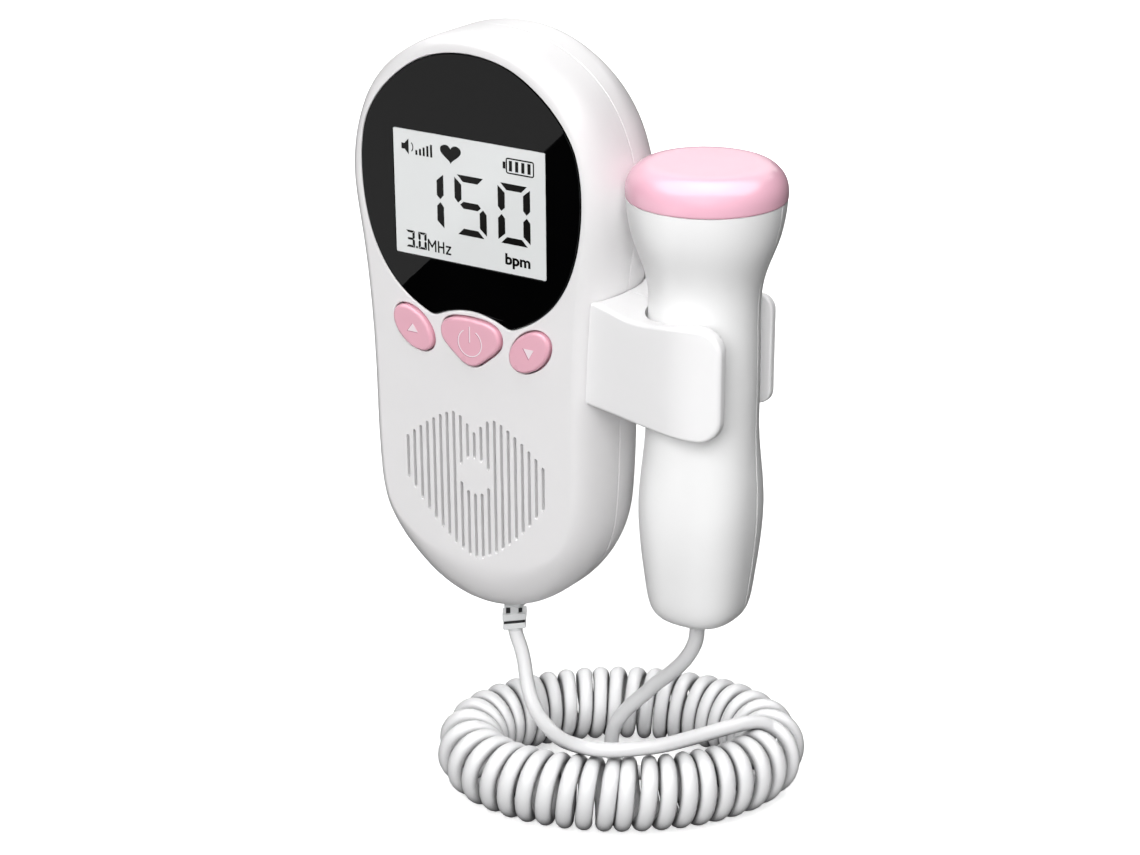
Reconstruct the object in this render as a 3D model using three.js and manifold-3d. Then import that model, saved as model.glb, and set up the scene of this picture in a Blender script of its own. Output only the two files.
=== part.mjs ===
// Pocket fetal doppler: a display and speaker unit, a pen-shaped ultrasound probe
// parked in a side clip, and a curly cord between the two.
// Millimetres, +Z up, front of the unit towards -Y, flat back of the unit at y = 0.
// The pieces are written about the middle of the unit; the group shifts them so
// that the origin is on the flat back above the battery door.
import * as THREE from 'three';
import { mergeVertices } from 'three/addons/utils/BufferGeometryUtils.js';
import Module from 'manifold-3d';

const wasm = await Module();
wasm.setup();

// ---------------------------------------------------------------- dimensions
const Z_SHIFT = -30;            // middle of the unit below the origin
const SEAM_Y = -12.9;           // parting plane of the two unit shells
const GAP = 0.3;                // clearance between touching pieces
const FRONT_Y0 = -26.2;         // front face at z = 0
const FRONT_TILT = 0.0139;      // the front face leans by this much per mm
const WALL_FRONT = 2.4;
const WALL_SIDE = 2.2;
const RF = { side: 5.6, top: 3.65, bottom: 7.0 };       // front edge, inward
const RFY = { side: 9.0, top: 12.0, bottom: 5.6 };      // front edge, in depth
const RB = { side: 9.8, top: 8.4, bottom: 18.2 };       // back edge, inward
const RBY = { side: 7.9, top: 6.8, bottom: 12.3 };      // back edge, in depth

// right half of the unit's outline seen from the front: x, z from top to bottom
const OUTLINE = [
  [0, 66.1], [5.0, 65.8], [9.7, 64.9], [14.2, 63.3], [18.5, 61.05], [22.5, 58.3], [26.0, 55.0], [28.9, 51.2],
  [31.15, 46.9], [32.8, 42.2], [33.9, 37.3], [34.3, 32.4], [34.0, 27.4], [33.25, 22.2], [32.45, 17.0], [31.75, 11.8],
  [31.2, 6.4], [30.8, 1.0], [30.45, -4.6], [30.25, -10.2], [30.12, -16.0], [30.08, -22.0], [30.0, -28.0], [29.75, -34.0],
  [29.35, -40.0], [28.45, -45.6], [26.5, -50.7], [23.6, -55.0], [20.0, -58.6], [15.9, -61.7], [10.9, -64.1], [5.5, -65.6], [0, -66.1],
];

// black window, right half, from the middle of the lower arc round to the top
const WINDOW = [
  [0, 5.4], [3.5, 5.05], [7.1, 4.05], [9.4, 3.0], [10.5, 2.8], [12.0, 3.5], [15.0, 5.0], [18.0, 7.0], [21.2, 10.0],
  [23.8, 13.6], [25.8, 17.6], [27.3, 22.2], [28.3, 27.6], [28.7, 33.4], [28.4, 39.2], [27.2, 44.6], [24.9, 49.0],
  [21.6, 53.0], [17.4, 56.6], [12.6, 59.6], [7.0, 61.5], [0, 62.25],
];
const LCD = { x: 19.8, z0: 15.8, z1: 43.8 };

// buttons: two tilted ovals and a rounded triangle
const OVAL = { cx: 15.5, cz: -1.1, a: 6.05, b: 3.95, tilt: 41 * Math.PI / 180 };
const POWER_R = [[-90, 6.1], [-70, 5.9], [-50, 5.65], [-35, 5.9], [-20, 6.55], [-5, 7.55], [5, 7.9], [16, 8.0], [28, 7.6], [42, 6.55], [60, 5.45], [75, 4.98], [90, 4.85]];
const POWER_C = [0, -1.1];
const PRESS = 0.7;              // button travel

// speaker grille: 21 upright slots in a heart outline round a plain disc
const SLOT_PITCH = 1.837;
const SLOT_W = 0.72;
const SLOT_TOP = [-27.4, -25.8, -24.4, -23.0, -21.8, -20.6, -19.7, -19.1, -19.7, -21.3, -23.0];
const SLOT_BOT = [-37.8, -40.0, -42.3, -44.5, -46.4, -48.1, -49.7, -51.0, -52.1, -53.1, -53.5];
const DISC = { z: -33.5, r: 4.25 };

// battery bay and door, two AA cells side by side
const BAY = { x: 17.6, z0: -44.6, z1: 11.6 };
const CELL = { r: 7.1, len: 49.0, nub: 1.3, x: 7.6, y: -9.3, z: -41.0 };
const DOOR_T = 1.5;

// probe
const PX = 52.0, PY = -14.6;
const PROBE = [
  [36.6, 16.8], [33, 16.5], [29, 15.75], [25, 14.3], [21, 12.75], [17, 11.95], [12, 11.85], [5, 12.0], [-2, 12.1], [-10, 12.05],
  [-18, 12.15], [-26, 12.65], [-34, 12.7], [-42, 12.1], [-48, 11.35], [-53, 10.7], [-56, 10.0], [-57.8, 8.8], [-58.6, 6.9], [-59.0, 4.2],
];
const PROBE_WALL = 1.8;
const CAP = { z0: 36.8, z1: 44.05, r: 16.95 };

// side clip
const CLIP = { z0: -11.25, z1: 13.4, backX: 61.2, frontX: 64.8, innerFront: -27.15, innerBack: -2.05, neckR: 12.55 };

// cord
const CORD_D = 3.4;
const RING = { x: 27.6, y: -8.0, z: -100.7, a: 34.4, b: 22.6, ra: 7.9, rb: 8.7, turn: 33.58 * Math.PI / 180 };
const PLUG = { x: 0, y: -11.0, w: 7.7, t: 6.6, z0: -75.8, z1: -57.5 };

// ---------------------------------------------------------------- materials
const mat = (color, roughness, metalness = 0) => new THREE.MeshStandardMaterial({ color, roughness, metalness });
const WHITE = [0xeeedee, 0.35], PINK = [0xe2aaba, 0.3], BLACK = [0x0c0c0d, 0.12], CORD = [0xe9e9ea, 0.5];

// ---------------------------------------------------------------- helpers
const group = new THREE.Group();
group.position.set(0, 0, Z_SHIFT);

function weld(geometry) {
  const g = geometry.index ? geometry.clone() : geometry.clone();
  g.deleteAttribute('normal');
  g.deleteAttribute('uv');
  return mergeVertices(g, 1e-4);
}
function solid(geometry) {
  const g = weld(geometry);
  return new wasm.Manifold(new wasm.Mesh({
    numProp: 3,
    vertProperties: new Float32Array(g.attributes.position.array),
    triVerts: new Uint32Array(g.index.array),
  }));
}
function shape(manifold) {
  const m = manifold.getMesh();
  const g = new THREE.BufferGeometry();
  g.setAttribute('position', new THREE.BufferAttribute(new Float32Array(m.vertProperties), 3));
  g.setIndex(new THREE.BufferAttribute(new Uint32Array(m.triVerts), 1));
  return g;
}
function add(name, geometry, look) {
  const mesh = new THREE.Mesh(weld(geometry), mat(...look));
  mesh.name = name;
  group.add(mesh);
  return mesh;
}
function fromRings(rings, closed = false) {
  // rings of equal count, skinned in order; the two ends are closed with fans
  const n = rings[0].length, pos = [], idx = [];
  for (const r of rings) for (const p of r) pos.push(...p);
  const last = closed ? rings.length : rings.length - 1;
  for (let k = 0; k < last; k++) {
    const a = k * n, b = ((k + 1) % rings.length) * n;
    for (let i = 0; i < n; i++) {
      const j = (i + 1) % n;
      idx.push(a + i, a + j, b + i, a + j, b + j, b + i);
    }
  }
  if (!closed) {
    for (const [k, flip] of [[0, true], [rings.length - 1, false]]) {
      const c = [0, 0, 0];
      for (const p of rings[k]) for (let q = 0; q < 3; q++) c[q] += p[q] / n;
      const ci = pos.length / 3;
      pos.push(...c);
      for (let i = 0; i < n; i++) {
        const j = (i + 1) % n;
        if (flip) idx.push(ci, k * n + j, k * n + i); else idx.push(ci, k * n + i, k * n + j);
      }
    }
  }
  let v = 0;
  for (let t = 0; t < idx.length; t += 3) {
    const [a, b, c] = [0, 1, 2].map((q) => pos.slice(3 * idx[t + q], 3 * idx[t + q] + 3));
    v += a[0] * (b[1] * c[2] - b[2] * c[1]) + a[1] * (b[2] * c[0] - b[0] * c[2]) + a[2] * (b[0] * c[1] - b[1] * c[0]);
  }
  if (v < 0) for (let t = 0; t < idx.length; t += 3) [idx[t + 1], idx[t + 2]] = [idx[t + 2], idx[t + 1]];
  const g = new THREE.BufferGeometry();
  g.setAttribute('position', new THREE.Float32BufferAttribute(pos, 3));
  g.setIndex(idx);
  return g;
}
const frontY = (z) => FRONT_Y0 - FRONT_TILT * z;

// flat outline [x, z] pushed from y = a(z) to y = b(z)
function slab(poly, ya, yb) {
  const contour = poly.map(([x, z]) => new THREE.Vector2(x, z));
  const area = THREE.ShapeUtils.area(contour);
  const pts = area < 0 ? contour.slice().reverse() : contour;
  const tri = THREE.ShapeUtils.triangulateShape(pts, []);
  const n = pts.length, pos = [], idx = [];
  for (const p of pts) pos.push(p.x, ya(p.y), p.y);
  for (const p of pts) pos.push(p.x, yb(p.y), p.y);
  // seen from the front (-Y), x to the right and z up is anticlockwise
  for (const [a, b, c] of tri) { idx.push(a, b, c); idx.push(n + a, n + c, n + b); }
  for (let i = 0; i < n; i++) { const j = (i + 1) % n; idx.push(i, n + i, j, j, n + i, n + j); }
  const g = new THREE.BufferGeometry();
  g.setAttribute('position', new THREE.Float32BufferAttribute(pos, 3));
  g.setIndex(idx);
  return g;
}
// plan outline [x, y] raised from z0 to z1
function column(poly, z0, z1) {
  const contour = poly.map(([x, y]) => new THREE.Vector2(x, y));
  const pts = THREE.ShapeUtils.area(contour) < 0 ? contour.slice().reverse() : contour;
  const tri = THREE.ShapeUtils.triangulateShape(pts, []);
  const n = pts.length, pos = [], idx = [];
  for (const p of pts) pos.push(p.x, p.y, z0);
  for (const p of pts) pos.push(p.x, p.y, z1);
  for (const [a, b, c] of tri) { idx.push(a, c, b); idx.push(n + a, n + b, n + c); }
  for (let i = 0; i < n; i++) { const j = (i + 1) % n; idx.push(i, j, n + i, j, n + j, n + i); }
  const g = new THREE.BufferGeometry();
  g.setAttribute('position', new THREE.Float32BufferAttribute(pos, 3));
  g.setIndex(idx);
  return g;
}
function block(x0, x1, y0, y1, z0, z1) {
  return new THREE.BoxGeometry(x1 - x0, y1 - y0, z1 - z0).translate((x0 + x1) / 2, (y0 + y1) / 2, (z0 + z1) / 2);
}
// round bar along an axis, from a to b
function bar(axis, a, b, c1, c2, r, seg = 16) {
  const g = new THREE.CylinderGeometry(r, r, b - a, seg);
  if (axis === 'x') return g.rotateZ(Math.PI / 2).translate((a + b) / 2, c1, c2);
  if (axis === 'y') return g.translate(c1, (a + b) / 2, c2);
  return g.rotateX(Math.PI / 2).translate(c1, c2, (a + b) / 2);
}
// turned piece: profile [r, t] along an axis, starting at c
function turned(profile, axis, c, seg = 16) {
  const line = profile[0][0] > 0 ? [...profile, profile[0]] : profile;
  const g = new THREE.LatheGeometry(line.map(([r, t]) => new THREE.Vector2(r, t)), seg);
  if (axis === 'z') g.rotateX(Math.PI / 2);
  if (axis === 'x') g.rotateZ(-Math.PI / 2);
  g.translate(...c);
  return outward(g);
}
function outward(geometry) {
  const g = weld(geometry), p = g.attributes.position, id = Array.from(g.index.array);
  let v = 0;
  for (let t = 0; t < id.length; t += 3) {
    const [a, b, c] = [id[t], id[t + 1], id[t + 2]];
    const A = [p.getX(a), p.getY(a), p.getZ(a)], B = [p.getX(b), p.getY(b), p.getZ(b)], C = [p.getX(c), p.getY(c), p.getZ(c)];
    v += A[0] * (B[1] * C[2] - B[2] * C[1]) + A[1] * (B[2] * C[0] - B[0] * C[2]) + A[2] * (B[0] * C[1] - B[1] * C[0]);
  }
  const keep = [];
  for (let t = 0; t < id.length; t += 3) {
    const [a, b, c] = [id[t], id[t + 1], id[t + 2]];
    if (a === b || b === c || a === c) continue;
    keep.push(a, v < 0 ? c : b, v < 0 ? b : c);
  }
  g.setIndex(keep);
  return g;
}
const minus = (a, ...bs) => bs.reduce((m, b) => m.subtract(b), a);
const plus = (a, ...bs) => bs.reduce((m, b) => m.add(b), a);

// closed smooth outline from a right half, n points, evenly spaced
function mirrorOutline(half, n, centripetal = true) {
  const pts = half.map(([x, z]) => new THREE.Vector3(x, z, 0));
  for (let i = half.length - 2; i > 0; i--) pts.push(new THREE.Vector3(-half[i][0], half[i][1], 0));
  const curve = new THREE.CatmullRomCurve3(pts, true, centripetal ? 'centripetal' : 'catmullrom');
  const out = [];
  for (let i = 0; i < n; i++) { const p = curve.getPointAt(i / n); out.push([p.x, p.y]); }
  return out;
}
function normals(poly) {
  const n = poly.length;
  const area = poly.reduce((s, p, i) => { const q = poly[(i + 1) % n]; return s + p[0] * q[1] - q[0] * p[1]; }, 0);
  return poly.map((p, i) => {
    const a = poly[(i + n - 1) % n], b = poly[(i + 1) % n];
    let tx = b[0] - a[0], tz = b[1] - a[1]; const l = Math.hypot(tx, tz); tx /= l; tz /= l;
    return area > 0 ? [tz, -tx] : [-tz, tx];
  });
}
const grow = (poly, d) => { const nn = normals(poly); return poly.map((p, i) => [p[0] + nn[i][0] * d, p[1] + nn[i][1] * d]); };
const byWay = (o, nz) => { const t = Math.max(nz, 0) ** 2, b = Math.max(-nz, 0) ** 2; return o.side * (1 - t - b) + o.top * t + o.bottom * b; };

// ---------------------------------------------------------------- unit shells
const N = 48;
const OUT = mirrorOutline(OUTLINE, N);
const OUTN = normals(OUT);
function ring(inset, yOf) {
  return OUT.map((p, i) => {
    const nz = OUTN[i][1], d = inset(nz), x = p[0] - OUTN[i][0] * d, z = p[1] - OUTN[i][1] * d;
    return [x, yOf(nz, z), z];
  });
}
const D = Math.PI / 180;
const FRONT_STEPS = [90, 62, 34, 8], BACK_STEPS = [90, 66, 42, 18, 2];
function frontRings(extra, seamY) {
  const rings = [];
  for (const q of extra > 0 ? [90, 45, 8] : FRONT_STEPS) {
    rings.push(ring(
      (nz) => extra + Math.max(byWay(RF, nz) - extra, 1) * (1 - Math.cos(q * D)),
      (nz, z) => frontY(z) + (extra > 0 ? WALL_FRONT : 0) + Math.max(byWay(RFY, nz) - (extra > 0 ? WALL_FRONT : 0), 1) * (1 - Math.sin(q * D)),
    ));
  }
  rings.push(ring(() => extra, () => seamY));
  return rings;
}
function backRings(extra, seamY) {
  const rings = [];
  for (const q of extra > 0 ? [90, 45, 2] : BACK_STEPS) {
    rings.push(ring(
      (nz) => extra + Math.max(byWay(RB, nz) - extra, 1) * (1 - Math.cos(q * D)),
      (nz) => -(extra > 0 ? WALL_FRONT : 0) - (byWay(RBY, nz) - (extra > 0 ? WALL_FRONT : 0)) * (1 - Math.sin(q * D)),
    ));
  }
  rings.push(ring(() => extra, () => seamY));
  return rings;
}
const frontSeam = SEAM_Y - GAP / 2, backSeam = SEAM_Y + GAP / 2;
let front = solid(fromRings([...frontRings(0, frontSeam), ...frontRings(WALL_SIDE, frontSeam).reverse()]));
let rear = solid(fromRings([...backRings(0, backSeam), ...backRings(WALL_SIDE, backSeam).reverse()]));

// full outer forms of the two shells, which trim what is built inside them
const frontForm = solid(fromRings(frontRings(0, frontSeam)));
const rearForm = solid(fromRings(backRings(0, backSeam)));

const windowPoly = mirrorOutline(WINDOW, 48);
const y = (d) => (z) => frontY(z) + d;
const lcdPoly = (g) => [[-LCD.x - g, LCD.z0 - g], [LCD.x + g, LCD.z0 - g], [LCD.x + g, LCD.z1 + g], [-LCD.x - g, LCD.z1 + g]];

function oval(side, g = 0, n = 18) {
  const out = [];
  for (let i = 0; i < n; i++) {
    const t = i / n * 2 * Math.PI, a = (OVAL.a + g) * Math.cos(t), b = (OVAL.b + g) * Math.sin(t);
    out.push([side * (OVAL.cx + a * Math.cos(OVAL.tilt) - b * Math.sin(OVAL.tilt)), OVAL.cz + a * Math.sin(OVAL.tilt) + b * Math.cos(OVAL.tilt)]);
  }
  return out;
}
function power(g = 0, n = 24) {
  const half = POWER_R.map(([d, r]) => [POWER_C[0] + r * Math.cos(d * D), POWER_C[1] + r * Math.sin(d * D)]);
  return grow(mirrorOutline(half, n), g);
}

// front shell: window pocket, display opening, button holes, grille slots
const cuts = [
  solid(slab(grow(windowPoly, GAP), y(-1), y(1.45))),
  solid(slab(lcdPoly(0.4), y(1), y(5))),
  solid(slab(oval(1, 0.35), y(-2), y(5))),
  solid(slab(oval(-1, 0.35), y(-2), y(5))),
  solid(slab(power(0.35), y(-2), y(5))),
];
for (let i = 0; i < 21; i++) {
  const k = i <= 10 ? i : 20 - i, x = (i - 10) * SLOT_PITCH;
  const spans = [];
  const h2 = DISC.r ** 2 - x ** 2;
  if (h2 > 0) {
    const h = Math.sqrt(h2);
    spans.push([DISC.z + h, SLOT_TOP[k]], [SLOT_BOT[k], DISC.z - h]);
  } else spans.push([SLOT_BOT[k], SLOT_TOP[k]]);
  for (const [a, b] of spans) cuts.push(solid(slab([[x - SLOT_W / 2, a], [x + SLOT_W / 2, a], [x + SLOT_W / 2, b], [x - SLOT_W / 2, b]], y(-2), y(5))));
}
front = minus(front, ...cuts);

// case screw bosses and the two low posts that carry the board
const PCB_SCREW = [[-22.5, 12.0], [22.5, 12.0]];
const BOSS = [[24.3, 46.6], [-24.3, 46.6], [23.4, -40.5], [-23.4, -40.5]];
for (const [bx, bz] of BOSS) {
  front = plus(front, solid(bar('y', frontY(bz) + WALL_FRONT - 0.4, frontSeam, bx, bz, 3.1, 12)).intersect(frontForm));
  front = minus(front, solid(bar('y', -24.0, frontSeam + 1, bx, bz, 1.45, 8)));
  rear = plus(rear, solid(bar('y', backSeam, -1.2, bx, bz, 4.0, 12)).intersect(rearForm));
  rear = minus(rear, solid(bar('y', -8.6, 2, bx, bz, 3.05, 12)), solid(bar('y', -14, -7, bx, bz, 1.55, 8)));
}

for (const [bx, bz] of PCB_SCREW) {
  front = plus(front, solid(bar('y', frontY(bz) + WALL_FRONT - 0.4, frontY(bz) + 6.25, bx, bz, 2.4, 12)));
  front = minus(front, solid(bar('y', frontY(bz) + 2.8, frontY(bz) + 8, bx, bz, 1.4, 12)));
}

// battery bay: a walled box behind the speaker, open at the back under the door
const bayOuter = plus(solid(block(-BAY.x - 1.3, BAY.x + 1.3, -17.4, backSeam + 0.5, BAY.z0 - 1.3, BAY.z1 + 1.3)), solid(block(-BAY.x - 1.3, BAY.x + 1.3, backSeam - 1, -1.0, BAY.z0 - 1.3, BAY.z1 + 1.3)).intersect(rearForm));
const bayInner = solid(block(-BAY.x, BAY.x, -16.7, 3, BAY.z0, BAY.z1));
rear = minus(plus(rear, bayOuter), bayInner);
rear = minus(rear, solid(block(-BAY.x - 1.5, BAY.x + 1.5, -DOOR_T - 0.35, 3, BAY.z0 - 1.6, BAY.z1 + 1.6)));

// cord socket opening in the bottom, across the seam, and the earphone opening
const plugHole = solid(block(PLUG.x - PLUG.w / 2 - 0.4, PLUG.x + PLUG.w / 2 + 0.4, PLUG.y - PLUG.t / 2 - 0.4, PLUG.y + PLUG.t / 2 + 0.4, -70, -59));
front = minus(front, plugHole);
rear = minus(rear, plugHole);
const JACK = { y: -7.4, z: -22 };
rear = minus(rear, solid(bar('x', -36, -19.1, JACK.y, JACK.z, 3.1, 12)));
add('front_shell', shape(front), WHITE);
add('rear_shell', shape(rear), WHITE);

// ---------------------------------------------------------------- display
add('display_window', shape(minus(solid(slab(windowPoly, y(0.0), y(1.15))), solid(slab(lcdPoly(0), y(-1), y(3))))), BLACK);
add('lcd_panel', slab(lcdPoly(-0.3), y(0.35), y(3.2)), [0xdfe1e1, 0.2]);
add('lcd_backlight', slab(lcdPoly(0.6), y(3.55), y(6.2)), [0xf4f4f0, 0.5]);

// main board behind the display and the buttons
const pcbPoly = grow(mirrorOutline(OUTLINE, 40), -5.2).filter(([, z]) => z > -12);
const pcbLow = pcbPoly.filter(([x]) => x > 0).reduce((m, p) => (p[1] < m[1] ? p : m))[0];
const pcbOrdered = pcbPoly.sort((p, q) => Math.atan2(p[1] - 20, p[0]) - Math.atan2(q[1] - 20, q[0]));
let board = solid(slab([...pcbOrdered, [-pcbLow, -14.2], [pcbLow, -14.2]].sort((p, q) => Math.atan2(p[1] - 20, p[0]) - Math.atan2(q[1] - 20, q[0])), y(6.6), y(8.2)));
for (const [bx, bz] of BOSS.slice(0, 2)) board = minus(board, solid(bar('y', -30, -10, bx, bz, 3.7, 16)));

for (const [sx, sz] of PCB_SCREW) board = minus(board, solid(bar('y', -30, -10, sx, sz, 1.5, 12)));
add('main_pcb', shape(board), [0x1f6b3a, 0.6]);
PCB_SCREW.forEach(([sx, sz], i) => add(`pcb_screw_${i + 1}`, turned([[0, -21.9], [1.1, -21.9], [1.1, frontY(sz) + 8.5], [2.2, frontY(sz) + 8.5], [2.2, frontY(sz) + 9.6], [0, frontY(sz) + 9.6]], 'y', [sx, 0, sz], 8), [0xb9bbbd, 0.3, 1]));

// ---------------------------------------------------------------- buttons
function button(name, inner, flange) {
  // crowned cap in the hole, with a wider flange that keeps it behind the shell
  const rings = [
    [flange, 3.5], [flange, 2.8], [inner(0), 2.8], [inner(0), -0.45], [inner(-0.5), -0.85], [inner(-1.5), -1.05],
  ].map(([poly, d]) => poly.map(([x, z]) => [x, frontY(z) + d, z]));
  add(name, fromRings(rings), PINK);
}
button('up_button', (g) => oval(-1, g), oval(-1, 0.9));
button('down_button', (g) => oval(1, g), oval(1, 0.9));
button('power_button', (g) => power(g), power(0.9));

let mat0 = solid(slab([[-22, -7.6], [22, -7.6], [22, 4.2], [-22, 4.2]], y(5.2), y(6.25)));
for (const [bx, bz] of [[-OVAL.cx, OVAL.cz], [0, POWER_C[1]], [OVAL.cx, OVAL.cz]]) mat0 = plus(mat0, solid(bar('y', frontY(bz) + 4.5, frontY(bz) + 5.6, bx, bz, 2.2, 12)));
add('keypad_mat', shape(mat0), [0xd8d8d4, 0.8]);

// ---------------------------------------------------------------- speaker
const SZ = -36.0, SY = frontY(SZ);
add('speaker_frame', turned([[13.2, 3.1], [17.6, 3.1], [17.6, 4.3], [15.4, 4.3], [9.4, 6.0], [9.4, 6.8], [8.2, 6.8], [8.2, 5.4], [13.2, 4.0]], 'y', [0, SY, SZ], 24), [0x4a4d50, 0.5, 0.6]);
add('speaker_cone', turned([[0, 3.2], [4.5, 3.2], [12.8, 3.2], [12.8, 3.6], [7.6, 4.9], [0, 4.9]], 'y', [0, SY, SZ], 20), [0x2a2a2c, 0.8]);
add('speaker_magnet', turned([[0, 5.3], [7.8, 5.3], [7.8, 7.6], [0, 7.6]], 'y', [0, SY, SZ], 20), [0x8c8f92, 0.4, 1]);

// ---------------------------------------------------------------- batteries and contacts
function cell(name, x, up) {
  const z = CELL.z, L = CELL.len;
  const prof = [[0, 0], [CELL.r - 0.5, 0], [CELL.r, 0.5], [CELL.r, L - 0.6], [CELL.r - 0.6, L], [2.7, L], [2.7, L + CELL.nub], [0, L + CELL.nub]];
  const g = turned(prof, 'z', [0, 0, 0], 14);
  if (!up) g.rotateX(Math.PI).translate(0, 0, L + CELL.nub);
  g.translate(x, CELL.y, z + (up ? 0 : -0.0));
  add(name, g, [0x7d8187, 0.4, 0.6]);
}
cell('battery_1', -CELL.x, true);
cell('battery_2', CELL.x, false);
function coilSpring(name, x, z0, z1, up) {
  const turns = 2.5, pts = [];
  for (let i = 0; i <= 26; i++) {
    const t = i / 26, a = t * turns * 2 * Math.PI, r = up ? 4.2 - 1.9 * t : 2.3 + 1.9 * t;
    pts.push(new THREE.Vector3(x + r * Math.cos(a), CELL.y + r * Math.sin(a), z0 + (z1 - z0) * t));
  }
  const path = new THREE.CatmullRomCurve3(pts);
  const sec = new THREE.Shape();
  for (let i = 0; i < 6; i++) { const a = i / 6 * 2 * Math.PI; if (i === 0) sec.moveTo(0.28, 0); else sec.lineTo(0.28 * Math.cos(a), 0.28 * Math.sin(a)); }
  add(name, outward(new THREE.ExtrudeGeometry(sec, { steps: 24, bevelEnabled: false, extrudePath: path })), [0xc6c8ca, 0.25, 1]);
}
// the lower bridge carries the spring of the first cell, the upper plates the spring of the second
add('contact_bridge', block(-CELL.x - 5.2, CELL.x + 5.2, CELL.y - 5.2, CELL.y + 5.2, BAY.z0 + 0.3, BAY.z0 + 0.7), [0xc6c8ca, 0.3, 1]);
coilSpring('contact_spring_1', -CELL.x, BAY.z0 + 1.3, CELL.z - 0.6, true);
add('contact_plate_1', block(-CELL.x - 5.2, -1.6, CELL.y - 5.2, CELL.y + 5.2, BAY.z1 - 0.7, BAY.z1 - 0.3), [0xc6c8ca, 0.3, 1]);
add('contact_plate_2', block(1.6, CELL.x + 5.2, CELL.y - 5.2, CELL.y + 5.2, BAY.z1 - 0.7, BAY.z1 - 0.3), [0xc6c8ca, 0.3, 1]);
coilSpring('contact_spring_2', CELL.x, CELL.z + CELL.len + CELL.nub + 0.6, BAY.z1 - 1.3, false);

// battery door: flat plate with two bottom tabs' edge as its pivot and a thumb ridge at the top
let door = solid(block(-BAY.x - 1.2, BAY.x + 1.2, -DOOR_T, 0, BAY.z0 - 1.3, BAY.z1 + 1.3));
for (let i = 0; i < 4; i++) door = minus(door, solid(block(-5, 5, -0.45, 1, BAY.z1 - 1.6 - i * 1.6, BAY.z1 - 0.8 - i * 1.6)));
add('battery_door', shape(door.intersect(rearForm)), WHITE);

// ---------------------------------------------------------------- sockets and screws
let socket = solid(block(PLUG.x - 5.6, PLUG.x + 5.6, PLUG.y - 5.2, PLUG.y + 3.7, -59.7, -50.0));
socket = minus(socket, solid(block(PLUG.x - PLUG.w / 2 - 0.3, PLUG.x + PLUG.w / 2 + 0.3, PLUG.y - PLUG.t / 2 - 0.3, PLUG.y + PLUG.t / 2 + 0.3, -62, -52.0)));
add('cord_socket', shape(socket), [0x2b2b2d, 0.6]);
add('earphone_jack', turned([[1.85, 0], [2.75, 0], [2.75, 10.4], [0, 10.4], [0, 9.0], [1.85, 9.0]], 'x', [-29.7, JACK.y, JACK.z], 16), [0x303033, 0.5]);
BOSS.forEach(([bx, bz], i) => add(`case_screw_${i + 1}`, turned([[0, -21.5], [1.1, -21.0], [1.1, -8.25], [2.7, -8.25], [2.7, -6.6], [1.0, -6.1], [0, -6.1]], 'y', [bx, 0, bz], 10), [0xb4b6b8, 0.3, 1]));

// ---------------------------------------------------------------- side clip
{
  const c = CLIP, a0 = [];
  const inner = [];
  // half-round seat for the neck, then straight sides out to the tips
  for (let i = 0; i <= 16; i++) { const t = (270 - i * 180 / 16) * D; inner.push([PX + c.neckR * Math.cos(t), PY + c.neckR * Math.sin(t)]); }
  const plan = [
    [28.0, -24.0], [33.0, -25.35], [38.0, -26.8], [43.0, -28.3], [47.0, -29.45], [50.5, -30.4], [53.5, -31.1], [56.0, -31.35], [58.5, -31.25], [61.0, -30.75], [64.8, -29.6], [70, -28.0], [70, c.innerFront],
    ...inner, [70, c.innerBack], [70, 0], [36.0, 0], [28.0, -1.4],
  ];
  const outlineXZ = (right, r, dip) => {
    const pts = [[26, c.z0 + 0.3], [44, c.z0]];
    for (let i = 0; i <= 6; i++) { const t = (-90 + i * 15) * D; pts.push([right - r + r * Math.cos(t), c.z0 + r + r * Math.sin(t)]); }
    for (let i = 0; i <= 6; i++) { const t = (i * 15) * D; pts.push([right - r + r * Math.cos(t), c.z1 - r + r * Math.sin(t)]); }
    pts.push([50.8, c.z1 - 0.9 * dip], [43.5, c.z1 - 1.9 * dip], [37.4, c.z1 - 1.7 * dip], [26, c.z1 - 0.9 * dip]);
    return pts;
  };
  const body = solid(column(plan, c.z0 - 2, c.z1 + 2));
  const frontPart = body.intersect(solid(slab(outlineXZ(c.frontX, 5.0, 1), () => -34, () => PY)));
  const backPart = body.intersect(solid(slab(outlineXZ(c.backX, 3.0, 0), () => PY, () => 4)));
  // stand clear of the unit's side
  const g = 0.35, clearRings = [];
  for (const q of FRONT_STEPS) clearRings.push(ring((nz) => byWay(RF, nz) * (1 - Math.cos(q * D)) - g * Math.cos(q * D), (nz, z) => frontY(z) + byWay(RFY, nz) * (1 - Math.sin(q * D)) - g * Math.sin(q * D)));
  for (const q of BACK_STEPS.slice().reverse()) clearRings.push(ring((nz) => byWay(RB, nz) * (1 - Math.cos(q * D)) - g * Math.cos(q * D), (nz) => -byWay(RBY, nz) * (1 - Math.sin(q * D)) + g * Math.sin(q * D)));
  const clear = solid(fromRings(clearRings));
  const clip = minus(plus(frontPart, backPart), clear);
  add('probe_clip', shape(clip), WHITE);
}

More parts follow.
